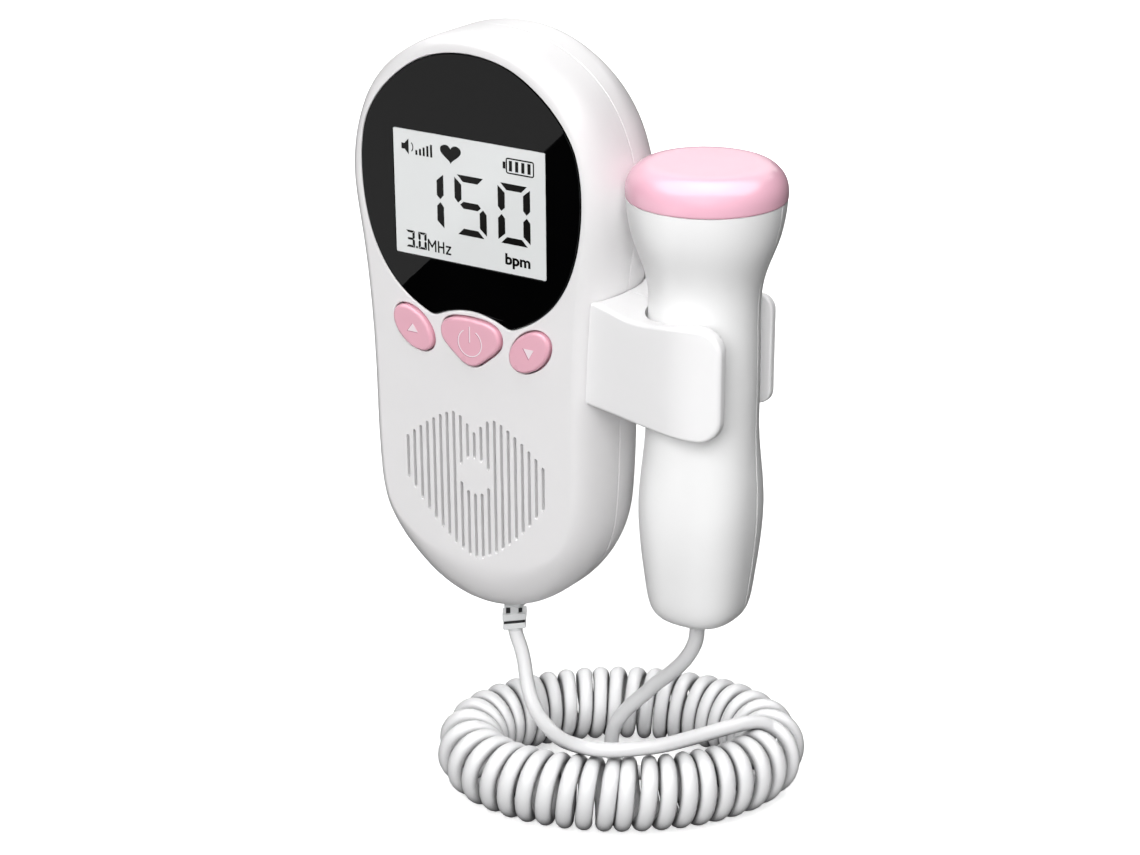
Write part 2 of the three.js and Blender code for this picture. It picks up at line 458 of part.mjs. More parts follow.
// ---------------------------------------------------------------- probe
const squircle = (z) => 2 + 0.5 * Math.min(1, Math.max(0, (-13 - z) / 18));
function probeRing(z, r, n = 28) {
  const e = squircle(z), out = [];
  for (let i = 0; i < n; i++) {
    const t = i / n * 2 * Math.PI, c = Math.cos(t), s = Math.sin(t);
    const k = r / Math.pow(Math.abs(c) ** e + Math.abs(s) ** e, 1 / e);
    out.push([PX + k * c, PY + k * s, z]);
  }
  return out;
}
const probeOuter = PROBE.map(([z, r]) => probeRing(z, r));
const probeInner = PROBE.filter(([z, r], i) => z > -57 && z < 36 && i % 2 === 0).map(([z, r]) => probeRing(z, r - PROBE_WALL));
probeInner.unshift(probeRing(40, PROBE[0][1] - PROBE_WALL));
let handle = minus(solid(fromRings(probeOuter)), solid(fromRings(probeInner)), solid(bar('z', -64, -50, PX - 0.3, PY, 3.4, 16)));
const halfBox = (y0, y1) => solid(block(PX - 30, PX + 30, y0, y1, -70, 60));
add('probe_front_shell', shape(handle.intersect(halfBox(PY - 30, PY + 2.05))), WHITE);
add('probe_rear_shell', shape(handle.intersect(halfBox(PY + 2.35, PY + 30))), WHITE);
add('probe_cap', turned([
  [0, CAP.z1 + 0.15], [10, CAP.z1 + 0.05], [12.6, CAP.z1 - 0.4], [14.7, CAP.z1 - 1.5], [16.1, CAP.z1 - 2.8], [16.8, CAP.z1 - 4.2], [CAP.r, CAP.z1 - 5.2], [CAP.r, CAP.z0 + 0.5], [CAP.r - 0.4, CAP.z0],
  [14.15, CAP.z0], [14.15, CAP.z0 - 3.2], [13.1, CAP.z0 - 3.2], [13.1, CAP.z1 - 3.2], [11.7, CAP.z1 - 1.7], [0, CAP.z1 - 1.7],
], 'z', [PX, PY, 0], 32), PINK);
function halfDisc(name, side, look) {
  const pts = [];
  for (let i = 0; i <= 10; i++) { const t = (-90 + i * 18) * D; pts.push([PX + side * (0.4 + 10.5 * Math.cos(t)), PY + 10.5 * Math.sin(t)]); }
  add(name, column(pts, CAP.z1 - 3.2, CAP.z1 - 2.1), look);
}
halfDisc('crystal_transmit', -1, [0xb8a878, 0.5]);
halfDisc('crystal_receive', 1, [0xb8a878, 0.5]);
add('crystal_backing', turned([[0, 36.3], [12.0, 36.3], [12.0, 40.5], [0, 40.5]], 'z', [PX, PY, 0], 20), [0x5a3c2a, 0.8]);
add('probe_shield', turned([[9.6, 24.0], [10.2, 24.0], [12.4, 30.5], [12.4, 36.0], [11.8, 36.0], [11.8, 30.8]], 'z', [PX, PY, 0], 20), [0xc9a15a, 0.35, 1]);
add('probe_pcb', block(PX - 6.5, PX + 6.5, PY - 0.6, PY + 0.6, -44, 22), [0x1f6b3a, 0.6]);
add('probe_strain_relief', turned([[1.95, -60.6], [2.75, -60.6], [3.1, -59.0], [3.1, -55.6], [5.0, -55.6], [5.0, -54.6], [1.95, -54.6]], 'z', [PX - 0.3, PY, 0], 16), [0xd9d9da, 0.6]);

// ---------------------------------------------------------------- cord
let plug = solid(block(PLUG.x - PLUG.w / 2, PLUG.x + PLUG.w / 2, PLUG.y - PLUG.t / 2, PLUG.y + PLUG.t / 2, -69.4, PLUG.z1));
// slimmer boot below the unit, waisted above its flange
plug = plus(plug, solid(block(PLUG.x - 2.0, PLUG.x + 2.5, PLUG.y - 2.1, PLUG.y + 2.1, PLUG.z0, -69.0)));
plug = minus(plug, solid(block(PLUG.x - 3, PLUG.x - 1.2, PLUG.y - 3, PLUG.y + 3, PLUG.z0 + 3.4, PLUG.z0 + 4.6)), solid(block(PLUG.x + 1.7, PLUG.x + 3, PLUG.y - 3, PLUG.y + 3, PLUG.z0 + 3.4, PLUG.z0 + 4.6)));
add('cord_plug', shape(plug), [0xdfe2e4, 0.2]);

// ring of the coiled cord, an oval laid flat, its long way across the view
const ringPoint = (t, q, grow0 = 0) => {
  const ex = RING.a * Math.cos(t), ey = RING.b * Math.sin(t);
  let nx = Math.cos(t) / RING.a, ny = Math.sin(t) / RING.b; const l = Math.hypot(nx, ny); nx /= l; ny /= l;
  const lx = ex + (RING.ra + grow0) * Math.cos(q) * nx, ly = ey + (RING.ra + grow0) * Math.cos(q) * ny;
  const cs = Math.cos(RING.turn), sn = Math.sin(RING.turn);
  return [RING.x + lx * cs - ly * sn, RING.y + lx * sn + ly * cs, RING.z + (RING.rb + grow0) * Math.sin(q)];
};
{
  const rings = [];
  for (let i = 0; i < 36; i++) { const r = []; for (let j = 0; j < 10; j++) r.push(ringPoint(i / 36 * 2 * Math.PI, (j + 0.5) / 10 * 2 * Math.PI)); rings.push(r); }
  add('coiled_cord', fromRings(rings, true), CORD);
}
function tail(name, pts, steps) {
  const path = new THREE.CatmullRomCurve3(pts.map((p) => new THREE.Vector3(...p)), false, 'centripetal');
  const sec = new THREE.Shape(), r = CORD_D / 2;
  for (let i = 0; i < 8; i++) { const a = i / 8 * 2 * Math.PI; if (i === 0) sec.moveTo(r, 0); else sec.lineTo(r * Math.cos(a), r * Math.sin(a)); }
  add(name, outward(new THREE.ExtrudeGeometry(sec, { steps, bevelEnabled: false, extrudePath: path })), CORD);
}
const TAIL_PLUG = [
  [0.25, -11.0, -76.5], [0.8, -11.0, -78.4], [2.2, -11.3, -80.9], [3.8, -12.2, -84.1], [5.5, -13.8, -87.3], [8.5, -16.2, -90.6], [12.6, -19.0, -92.6],
  [17.6, -22.0, -93.1], [22.8, -25.2, -92.0], [28.4, -28.1, -90.6], [34.0, -29.2, -90.1], [38.5, -27.2, -90.1], [42.3, -23.6, -90.1], [45.3, -19.8, -90.1],
  [48.1, -14.4, -90.1], [50.8, -8.5, -90.1], [53.6, -2.6, -90.1], [56.0, 2.3, -90.1], [57.9, 5.3, -90.1],
];
const TAIL_PROBE = [
  [51.7, -14.6, -60.9], [51.35, -14.5, -64.4], [49.6, -13.8, -68.3], [46.7, -12.8, -72.3], [43.0, -11.6, -76.3], [38.7, -10.2, -80.5], [34.9, -9.0, -84.6],
  [31.1, -8.0, -88.6], [27.9, -7.2, -92.4], [25.6, -6.7, -96.0], [24.3, -6.3, -99.6], [24.3, -6.3, -103.4], [26.6, -6.6, -106.4], [31.0, -5.6, -107.5], [36.8, -3.0, -107.6],
  [42.6, 0.6, -107.6], [45.6, 2.4, -107.6],
];
tail('plug_cord_tail', TAIL_PLUG, 34);
tail('probe_cord_tail', TAIL_PROBE, 30);

export default group;
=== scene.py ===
import math
import bmesh
import bpy
import numpy as np
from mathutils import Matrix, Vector
from mathutils.geometry import delaunay_2d_cdt

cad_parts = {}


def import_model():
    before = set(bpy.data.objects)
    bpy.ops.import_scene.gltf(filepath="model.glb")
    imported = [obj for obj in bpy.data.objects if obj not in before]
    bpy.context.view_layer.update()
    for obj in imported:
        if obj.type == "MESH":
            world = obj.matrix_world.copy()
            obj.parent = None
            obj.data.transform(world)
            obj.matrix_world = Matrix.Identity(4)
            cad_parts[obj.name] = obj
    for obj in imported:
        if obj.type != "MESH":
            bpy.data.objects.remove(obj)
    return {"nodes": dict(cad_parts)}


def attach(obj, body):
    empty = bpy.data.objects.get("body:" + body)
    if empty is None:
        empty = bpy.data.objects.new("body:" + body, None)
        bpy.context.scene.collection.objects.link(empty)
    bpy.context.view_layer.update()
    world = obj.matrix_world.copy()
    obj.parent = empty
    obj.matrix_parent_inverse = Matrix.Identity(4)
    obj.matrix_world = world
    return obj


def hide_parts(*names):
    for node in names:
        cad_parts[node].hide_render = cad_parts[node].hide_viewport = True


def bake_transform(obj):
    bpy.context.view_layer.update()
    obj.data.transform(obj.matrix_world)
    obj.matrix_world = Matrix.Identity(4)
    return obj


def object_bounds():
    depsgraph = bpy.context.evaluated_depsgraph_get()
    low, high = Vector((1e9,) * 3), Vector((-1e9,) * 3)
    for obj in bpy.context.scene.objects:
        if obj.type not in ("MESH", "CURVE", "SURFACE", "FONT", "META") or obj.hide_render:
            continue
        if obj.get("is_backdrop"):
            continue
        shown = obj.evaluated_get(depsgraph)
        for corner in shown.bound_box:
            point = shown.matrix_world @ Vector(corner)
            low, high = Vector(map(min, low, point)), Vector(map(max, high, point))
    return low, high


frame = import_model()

CAD_BOX = [[float(c) for c in v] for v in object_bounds()]
scene = bpy.context.scene
NODES = frame["nodes"]
rng = np.random.default_rng(11)

# Pieces are written in millimetres about the middle of the unit, as in the CAD
# source: x = 0 is the unit's plane of symmetry, y = 0 its flat back, front towards -y.
Z_SHIFT = -30.0


def world(p):
    p = np.asarray(p, float).reshape(-1, 3)
    return (p + np.array([0, 0, Z_SHIFT])) / 1000.0


def pt(x, y, z):
    return tuple(float(c) for c in world([x, y, z])[0])


# ------------------------------------------------------------------ camera
CAM_AZ, CAM_EL, CAM_DIST = math.radians(33.58), math.radians(21.02), 0.6158
CAM_BACK = Vector((math.sin(CAM_AZ) * math.cos(CAM_EL), -math.cos(CAM_AZ) * math.cos(CAM_EL), math.sin(CAM_EL)))
CAM_AIM = Vector((0.0071, 0.00195, -0.0592))
cam_data = bpy.data.cameras.new("camera")
cam_data.lens = 85.0
cam_data.sensor_width = 36.0
cam_data.sensor_fit = "HORIZONTAL"
cam_data.clip_start = 0.02
cam_data.clip_end = 30.0
cam = bpy.data.objects.new("camera", cam_data)
cam.location = CAM_AIM + CAM_BACK * CAM_DIST
cam.rotation_euler = (-CAM_BACK).to_track_quat("-Z", "Y").to_euler()
scene.collection.objects.link(cam)
scene.camera = cam


# ------------------------------------------------------------------ curves
def catmull(points, closed=False, sub=24):
    """Dense centripetal Catmull-Rom line through the points."""
    P = np.asarray(points, float)
    n = len(P)
    if closed:
        ext = [P[(i - 1) % n] for i in range(n + 3)]
    else:
        ext = [2 * P[0] - P[1], *P, 2 * P[-1] - P[-2]]
    out = []
    segs = n if closed else n - 1
    for i in range(segs):
        p0, p1, p2, p3 = ext[i], ext[i + 1], ext[i + 2], ext[i + 3]
        t0 = 0.0
        t1 = t0 + max(np.linalg.norm(p1 - p0), 1e-6) ** 0.5
        t2 = t1 + max(np.linalg.norm(p2 - p1), 1e-6) ** 0.5
        t3 = t2 + max(np.linalg.norm(p3 - p2), 1e-6) ** 0.5
        for k in range(sub):
            t = t1 + (t2 - t1) * k / sub
            a1 = (t1 - t) / (t1 - t0) * p0 + (t - t0) / (t1 - t0) * p1
            a2 = (t2 - t) / (t2 - t1) * p1 + (t - t1) / (t2 - t1) * p2
            a3 = (t3 - t) / (t3 - t2) * p2 + (t - t2) / (t3 - t2) * p3
            b1 = (t2 - t) / (t2 - t0) * a1 + (t - t0) / (t2 - t0) * a2
            b2 = (t3 - t) / (t3 - t1) * a2 + (t - t1) / (t3 - t1) * a3
            out.append((t2 - t) / (t2 - t1) * b1 + (t - t1) / (t2 - t1) * b2)
    if not closed:
        out.append(P[-1])
    return np.array(out)


def resample(line, n, closed=False):
    L = np.vstack([line, line[:1]]) if closed else line
    s = np.concatenate([[0], np.cumsum(np.linalg.norm(np.diff(L, axis=0), axis=1))])
    at = np.linspace(0, s[-1], n + 1)[:-1] if closed else np.linspace(0, s[-1], n)
    return np.stack([np.interp(at, s, L[:, k]) for k in range(L.shape[1])], 1)


def soften(loop, width):
    """Gaussian smoothing round a closed, evenly spaced loop; width in points."""
    n = len(loop)
    k = np.arange(-int(4 * width) - 1, int(4 * width) + 2)
    w = np.exp(-0.5 * (k / width) ** 2)
    w /= w.sum()
    return sum(wi * np.roll(loop, ki, axis=0) for wi, ki in zip(w, k)).reshape(n, -1)


def mirror_loop(half, n, width=0.0):
    half = list(half)
    pts = half + [(-x, z) for x, z in half[-2:0:-1]]
    loop = resample(catmull(pts, True), n, True)
    return soften(loop, width) if width else loop


def loop_normals(loop):
    t = np.roll(loop, -1, 0) - np.roll(loop, 1, 0)
    t /= np.linalg.norm(t, axis=1)[:, None]
    x, z = loop[:, 0], loop[:, 1]
    area = np.sum(x * np.roll(z, -1) - np.roll(x, -1) * z)
    nn = np.stack([t[:, 1], -t[:, 0]], 1)
    return nn if area > 0 else -nn


def grow(loop, d):
    return loop + loop_normals(loop) * d


# ------------------------------------------------------------------ mesh making
def signed_volume(v, faces):
    s = 0.0
    for f in faces:
        a = v[f[0]]
        for i in range(1, len(f) - 1):
            s += np.dot(a, np.cross(v[f[i]], v[f[i + 1]]))
    return s


class Mesh:
    """Vertices in millimetres and faces, with a material number per face."""

    def __init__(self, v=None, f=None, m=None):
        self.v = np.zeros((0, 3)) if v is None else np.asarray(v, float).reshape(-1, 3)
        self.f = [] if f is None else [tuple(int(i) for i in q) for q in f]
        self.m = [0] * len(self.f) if m is None else list(m)

    def add(self, other, slot=None):
        k = len(self.v)
        self.v = np.vstack([self.v, other.v])
        self.f += [tuple(i + k for i in q) for q in other.f]
        self.m += list(other.m) if slot is None else [slot] * len(other.f)
        return self

    def outward(self):
        if signed_volume(self.v, self.f) < 0:
            self.f = [tuple(reversed(q)) for q in self.f]
        return self


def loft(rings, closed=False, caps=(True, True)):
    rings = [np.asarray(r, float) for r in rings]
    n = len(rings[0])
    v = np.vstack(rings)
    f = []
    last = len(rings) if closed else len(rings) - 1
    for k in range(last):
        a, b = k * n, ((k + 1) % len(rings)) * n
        for i in range(n):
            j = (i + 1) % n
            f.append((a + i, a + j, b + j, b + i))
    if not closed:
        if caps[0]:
            f.append(tuple(range(n))[::-1])
        if caps[1]:
            k = (len(rings) - 1) * n
            f.append(tuple(k + i for i in range(n)))
    return Mesh(v, f).outward()


def lathe(profile, centre, axis="z", seg=96):
    """Turned piece from a closed profile of (radius, along) points; radius 0 closes on the axis."""
    P = list(profile)
    v, rows = [], []
    for r, t in P:
        if r < 1e-6:
            rows.append([len(v)] * seg)
            v.append((0, 0, t))
        else:
            rows.append(list(range(len(v), len(v) + seg)))
            for i in range(seg):
                a = 2 * math.pi * i / seg
                v.append((r * math.cos(a), r * math.sin(a), t))
    f = []
    for k in range(len(P)):
        a, b = rows[k], rows[(k + 1) % len(P)]
        if a[0] == a[1] and b[0] == b[1]:
            continue
        for i in range(seg):
            j = (i + 1) % seg
            q = []
            for w in (a[i], a[j], b[j], b[i]):
                if w not in q:
                    q.append(w)
            if len(q) > 2:
                f.append(tuple(q))
    v = np.array(v, float)
    if axis == "x":
        v = v[:, [2, 0, 1]]
    if axis == "y":
        v = v[:, [1, 2, 0]]
    return Mesh(v + np.array(centre, float), f).outward()


def box_mesh(x0, x1, y0, y1, z0, z1, r=0.0, steps=3):
    """Block; with r its four upright edges and the rims of both ends are rounded."""
    if r <= 0:
        loop = np.array([[x0, y0], [x1, y0], [x1, y1], [x0, y1]])
        return loft([np.c_[loop, np.full(4, z)] for z in (z0, z1)])

    def plan(d):
        out = []
        for cx, cy, a0 in ((x1 - r, y0 + r, -90), (x1 - r, y1 - r, 0), (x0 + r, y1 - r, 90), (x0 + r, y0 + r, 180)):
            for k in range(steps + 1):
                a = math.radians(a0 + 90 * k / steps)
                out.append((cx + (r - d) * math.cos(a), cy + (r - d) * math.sin(a)))
        return np.array(out)

    rings = []
    e = min(r * 0.75, (z1 - z0) / 3)
    for k in range(steps + 1):
        a = math.radians(90 * k / steps)
        rings.append((e * (1 - math.sin(a)), z0 + e * (1 - math.cos(a))))
    for k in range(steps, -1, -1):
        a = math.radians(90 * k / steps)
        rings.append((e * (1 - math.sin(a)), z1 - e * (1 - math.cos(a))))
    return loft([np.c_[plan(d), np.full(4 * (steps + 1), z)] for d, z in rings])


def fill(loops, extra=()):
    """Triangles inside the first loop and outside the others, all in a plane."""
    pts, edges = [], []
    for loop in loops:
        k = len(pts)
        pts += [Vector((float(a), float(b))) for a, b in loop]
        edges += [(k + i, k + (i + 1) % len(loop)) for i in range(len(loop))]
    pts += [Vector((float(a), float(b))) for a, b in extra]
    v, _, f, *_ = delaunay_2d_cdt(pts, edges, [], 1, 1e-7)
    return np.array([(p[0], p[1]) for p in v]), [tuple(q) for q in f]


TEMP = []


def temp(mesh):
    me = bpy.data.meshes.new("t")
    me.from_pydata([tuple(p) for p in mesh.v], [], mesh.f)
    me.update()
    o = bpy.data.objects.new("t", me)
    scene.collection.objects.link(o)
    TEMP.append(o)
    return o


def cut(mesh, *tools):
    """tools are (operation, Mesh); returns the result as a Mesh."""
    base = temp(mesh)
    for op, tool in tools:
        t = temp(tool)
        m = base.modifiers.new("b", "BOOLEAN")
        m.object = t
        m.operation = op
        m.solver = "MANIFOLD"
    dg = bpy.context.evaluated_depsgraph_get()
    me = bpy.data.meshes.new_from_object(base.evaluated_get(dg))
    # small faces stay as they are; many-sided ones become triangles
    me.calc_loop_triangles()
    faces = [tuple(p.vertices) for p in me.polygons if len(p.vertices) < 5]
    faces += [tuple(t.vertices) for t in me.loop_triangles if len(me.polygons[t.polygon_index].vertices) > 4]
    out = Mesh([tuple(p.co) for p in me.vertices], faces)
    for o in TEMP:
        bpy.data.objects.remove(o)
    TEMP.clear()
    if not out.f:
        raise RuntimeError("a boolean came out empty")
    return out


def make(name, mesh, materials, body=None, replaces=(), sharp=32.0, weighted=True):
    me = bpy.data.meshes.new(name)
    me.from_pydata([tuple(p) for p in world(mesh.v)], [], mesh.f)
    me.update()
    for m in materials if isinstance(materials, (list, tuple)) else [materials]:
        me.materials.append(m)
    for p, k in zip(me.polygons, mesh.m if len(mesh.m) == len(me.polygons) else [0] * len(me.polygons)):
        p.use_smooth = True
        p.material_index = k
    me.set_sharp_from_angle(angle=math.radians(sharp))
    o = bpy.data.objects.new(name, me)
    scene.collection.objects.link(o)
    if weighted:
        w = o.modifiers.new("weighted", "WEIGHTED_NORMAL")
        w.mode = "FACE_AREA"
        w.weight = 50
        w.keep_sharp = True
    if body:
        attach(o, body)
    if replaces:
        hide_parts(*replaces)
    return o


# ------------------------------------------------------------------ materials
def nodes_of(name):
    m = bpy.data.materials.new(name)
    m.use_nodes = True
    nt = m.node_tree
    nt.nodes.clear()
    out = nt.nodes.new("ShaderNodeOutputMaterial")
    b = nt.nodes.new("ShaderNodeBsdfPrincipled")
    nt.links.new(b.outputs[0], out.inputs["Surface"])
    return m, nt, b


def noise(nt, co, scale, detail=2.0, rough=0.5, squeeze=None):
    if squeeze is not None:
        mp = nt.nodes.new("ShaderNodeMapping")
        mp.inputs["Scale"].default_value = squeeze
        nt.links.new(co, mp.inputs["Vector"])
        co = mp.outputs[0]
    n = nt.nodes.new("ShaderNodeTexNoise")
    n.inputs["Scale"].default_value = scale
    n.inputs["Detail"].default_value = detail
    n.inputs["Roughness"].default_value = rough
    nt.links.new(co, n.inputs["Vector"])
    return n.outputs["Fac"]


def ramp(nt, fac, stops):
    r = nt.nodes.new("ShaderNodeValToRGB")
    while len(r.color_ramp.elements) < len(stops):
        r.color_ramp.elements.new(0.5)
    for e, (p, c) in zip(r.color_ramp.elements, stops):
        e.position = p
        e.color = (*c, 1.0)
    nt.links.new(fac, r.inputs[0])
    return r.outputs[0]


def spread(nt, fac, lo, hi, a=0.3, b=0.7):
    m = nt.nodes.new("ShaderNodeMapRange")
    m.inputs["From Min"].default_value = a
    m.inputs["From Max"].default_value = b
    m.inputs["To Min"].default_value = lo
    m.inputs["To Max"].default_value = hi
    nt.links.new(fac, m.inputs["Value"])
    return m.outputs[0]


def bump(nt, b, height, strength, distance):
    n = nt.nodes.new("ShaderNodeBump")
    n.inputs["Strength"].default_value = strength
    n.inputs["Distance"].default_value = distance
    nt.links.new(height, n.inputs["Height"])
    nt.links.new(n.outputs[0], b.inputs["Normal"])


def tone(c, k):
    return tuple(min(1.0, max(0.0, x * k)) for x in c)


def moulded(name, base, rough, tint=0.02, grain=2600.0, relief=0.06, depth=0.00002, blotch=55.0,
            ior=1.46, coat=0.0, coat_rough=0.08, rough_var=0.04, metallic=0.0, sss=0.0, specular=0.5):
    """Injection moulded plastic: faint flow mottling, a fine satin grain and slightly uneven gloss."""
    m, nt, b = nodes_of(name)
    co = nt.nodes.new("ShaderNodeTexCoord").outputs["Object"]
    slow = noise(nt, co, blotch, 3.0, 0.55)
    fine = noise(nt, co, grain, 2.0, 0.6)
    nt.links.new(ramp(nt, slow, [(0.3, tone(base, 1 - tint)), (0.7, tone(base, 1 + tint))]), b.inputs["Base Color"])
    nt.links.new(spread(nt, slow, rough - rough_var, rough + rough_var), b.inputs["Roughness"])
    bump(nt, b, fine, relief, depth)
    b.inputs["IOR"].default_value = ior
    b.inputs["Metallic"].default_value = metallic
    b.inputs["Specular IOR Level"].default_value = specular
    b.inputs["Coat Weight"].default_value = coat
    b.inputs["Coat Roughness"].default_value = coat_rough
    if sss:
        b.inputs["Subsurface Weight"].default_value = sss
        b.inputs["Subsurface Radius"].default_value = (1.0, 0.8, 0.7)
        b.inputs["Subsurface Scale"].default_value = 0.0012
    return m


def metal(name, base, rough, lines=(1, 1, 40), scale=900.0, var=0.12, relief=0.12):
    """Plated or brushed metal with drawn streaks."""
    m, nt, b = nodes_of(name)
    co = nt.nodes.new("ShaderNodeTexCoord").outputs["Object"]
    s = noise(nt, co, scale, 3.0, 0.6, lines)
    slow = noise(nt, co, 180.0, 2.0)
    nt.links.new(ramp(nt, slow, [(0.3, tone(base, 0.9)), (0.7, tone(base, 1.08))]), b.inputs["Base Color"])
    nt.links.new(spread(nt, s, max(0.05, rough - var), rough + var), b.inputs["Roughness"])
    bump(nt, b, s, relief, 0.00002)
    b.inputs["Metallic"].default_value = 1.0
    return m


WHITE = (0.79, 0.78, 0.785)
BRIGHT = (0.93, 0.93, 0.93)
PINK = (0.79, 0.42, 0.51)
ROSE = (0.9, 0.5, 0.62)
M = {}
M["shell"] = moulded("unit_shell_white", WHITE, 0.34, tint=0.012, relief=0.05)
M["probe"] = moulded("probe_shell_white", BRIGHT, 0.32, tint=0.012, relief=0.05)
M["clip"] = moulded("clip_white", (0.9, 0.895, 0.9), 0.46, tint=0.012, relief=0.06, specular=0.3)
M["pink"] = moulded("key_pink", PINK, 0.3, tint=0.02, relief=0.05, grain=2200.0)
M["cap"] = moulded("cap_pink", ROSE, 0.2, tint=0.015, relief=0.03, grain=1800.0)
# pale pink: real print on the triangles; on the power key the same colour is a painted highlight
M["print"] = moulded("key_print_and_highlight_white", (0.86, 0.74, 0.78), 0.5, tint=0.03, relief=0.1)
# painted shade: a darker pink copy of each key sign, shifted to the lower left, stands in for the shaded edge of an
# engraving
M["print_dark"] = moulded("key_painted_edge_shade", (0.5, 0.16, 0.24), 0.5, tint=0.03, relief=0.1)
M["window"] = moulded("window_black_acrylic", (0.001, 0.001, 0.0011), 0.02, tint=0.2, ior=1.23, relief=0.004, grain=600.0, rough_var=0.006)
M["lcd"] = moulded("display_glass_grey", (0.77, 0.785, 0.785), 0.09, tint=0.012, blotch=30.0, ior=1.36, relief=0.015, grain=4200.0, rough_var=0.02)
M["ink"] = moulded("display_segment_black", (0.006, 0.0055, 0.005), 0.2, tint=0.25, ior=1.2, relief=0.03, grain=3800.0)
M["dark"] = moulded("socket_black", (0.02, 0.02, 0.021), 0.5, tint=0.15, relief=0.15)
M["diffuser"] = moulded("light_guide_milky", (0.86, 0.86, 0.82), 0.45, tint=0.02)
M["board"] = None
M["steel"] = metal("zinc_plated_steel", (0.58, 0.59, 0.6), 0.3)
M["nickel"] = metal("nickel_spring_steel", (0.66, 0.65, 0.62), 0.25)
M["brass"] = metal("brass_screening_cup", (0.62, 0.43, 0.17), 0.28)
M["silicone"] = moulded("keypad_silicone", (0.68, 0.68, 0.65), 0.6, tint=0.03, relief=0.12, grain=1500.0)
M["speaker_metal"] = metal("speaker_basket_dark", (0.07, 0.074, 0.08), 0.45)
M["relief"] = moulded("relief_soft_grey", (0.7, 0.7, 0.71), 0.5, tint=0.03, relief=0.15, grain=1200.0)
M["plug"] = moulded("plug_clear_grey", (0.72, 0.73, 0.735), 0.18, tint=0.05, relief=0.05, ior=1.5)
M["plug_dark"] = moulded("plug_gap_dark", (0.02, 0.02, 0.021), 0.4, tint=0.1)


def jacket_material():
    """Soft white cord jacket, with painted shade: the colour darkens where the turns lie close together."""
    m, nt, b = nodes_of("cord_jacket_white")
    co = nt.nodes.new("ShaderNodeTexCoord").outputs["Object"]
    slow = noise(nt, co, 90.0, 3.0, 0.55)
    fine = noise(nt, co, 1600.0, 2.0, 0.6)
    # painted shade: ambient occlusion darkens the base colour, down to near black in the gaps between turns
    near = nt.nodes.new("ShaderNodeAmbientOcclusion")
    near.samples = 8
    near.inputs["Distance"].default_value = 0.006
    painted_gap_shade = ramp(nt, near.outputs["AO"], [(0.2, (0.08, 0.08, 0.083)), (0.46, (0.45, 0.45, 0.455)), (0.8, (0.8, 0.8, 0.805))])
    tint = ramp(nt, slow, [(0.3, (0.975, 0.975, 0.98)), (0.7, (1.0, 1.0, 1.0))])
    mix = nt.nodes.new("ShaderNodeMix")
    mix.data_type, mix.blend_type = "RGBA", "MULTIPLY"
    mix.inputs[0].default_value = 1.0
    nt.links.new(painted_gap_shade, mix.inputs[6])
    nt.links.new(tint, mix.inputs[7])
    nt.links.new(mix.outputs[2], b.inputs["Base Color"])
    nt.links.new(spread(nt, slow, 0.36, 0.44), b.inputs["Roughness"])
    bump(nt, b, fine, 0.1, 0.00002)
    return m


M["jacket"] = jacket_material()


def paper_material():
    m, nt, b = nodes_of("speaker_paper_black")
    co = nt.nodes.new("ShaderNodeTexCoord").outputs["Object"]
    f = noise(nt, co, 1400.0, 5.0, 0.7)
    nt.links.new(ramp(nt, f, [(0.3, (0.015, 0.015, 0.015)), (0.7, (0.045, 0.043, 0.041))]), b.inputs["Base Color"])
    nt.links.new(spread(nt, f, 0.75, 0.95), b.inputs["Roughness"])
    bump(nt, b, f, 0.5, 0.0001)
    return m


def board_material():
    """Green solder mask over a faint pattern of tracks."""
    m, nt, b = nodes_of("board_green_mask")
    co = nt.nodes.new("ShaderNodeTexCoord").outputs["Object"]
    v = nt.nodes.new("ShaderNodeTexVoronoi")
    v.distance = "CHEBYCHEV"
    v.feature = "DISTANCE_TO_EDGE" if False else "F1"
    v.inputs["Scale"].default_value = 420.0
    nt.links.new(co, v.inputs["Vector"])
    c = ramp(nt, v.outputs["Distance"], [(0.1, (0.02, 0.11, 0.045)), (0.35, (0.03, 0.19, 0.07)), (0.6, (0.018, 0.12, 0.045))])
    nt.links.new(c, b.inputs["Base Color"])
    nt.links.new(spread(nt, noise(nt, co, 260.0), 0.3, 0.5), b.inputs["Roughness"])
    bump(nt, b, v.outputs["Distance"], 0.25, 0.00005)
    return m


def cloth_material():
    """Woven grille cloth, with painted shade: darker towards the left of the grille, lighter towards the right."""
    m, nt, b = nodes_of("grille_cloth_grey")
    co = nt.nodes.new("ShaderNodeTexCoord").outputs["Object"]
    sep = nt.nodes.new("ShaderNodeSeparateXYZ")
    nt.links.new(co, sep.inputs[0])
    shade_across = spread(nt, sep.outputs[0], 0.0, 1.0, -0.019, 0.019)
    w = nt.nodes.new("ShaderNodeTexWave")
    w.inputs["Scale"].default_value = 900.0
    w.inputs["Distortion"].default_value = 0.4
    nt.links.new(co, w.inputs["Vector"])
    # painted shade: the base colour goes from dark grey at the left of the grille to mid grey at the right
    nt.links.new(ramp(nt, shade_across, [(0.0, (0.05, 0.05, 0.052)), (1.0, (0.34, 0.34, 0.345))]), b.inputs["Base Color"])
    nt.links.new(spread(nt, w.outputs["Fac"], 0.8, 0.95, 0.0, 1.0), b.inputs["Roughness"])
    bump(nt, b, w.outputs["Fac"], 0.4, 0.00006)
    return m


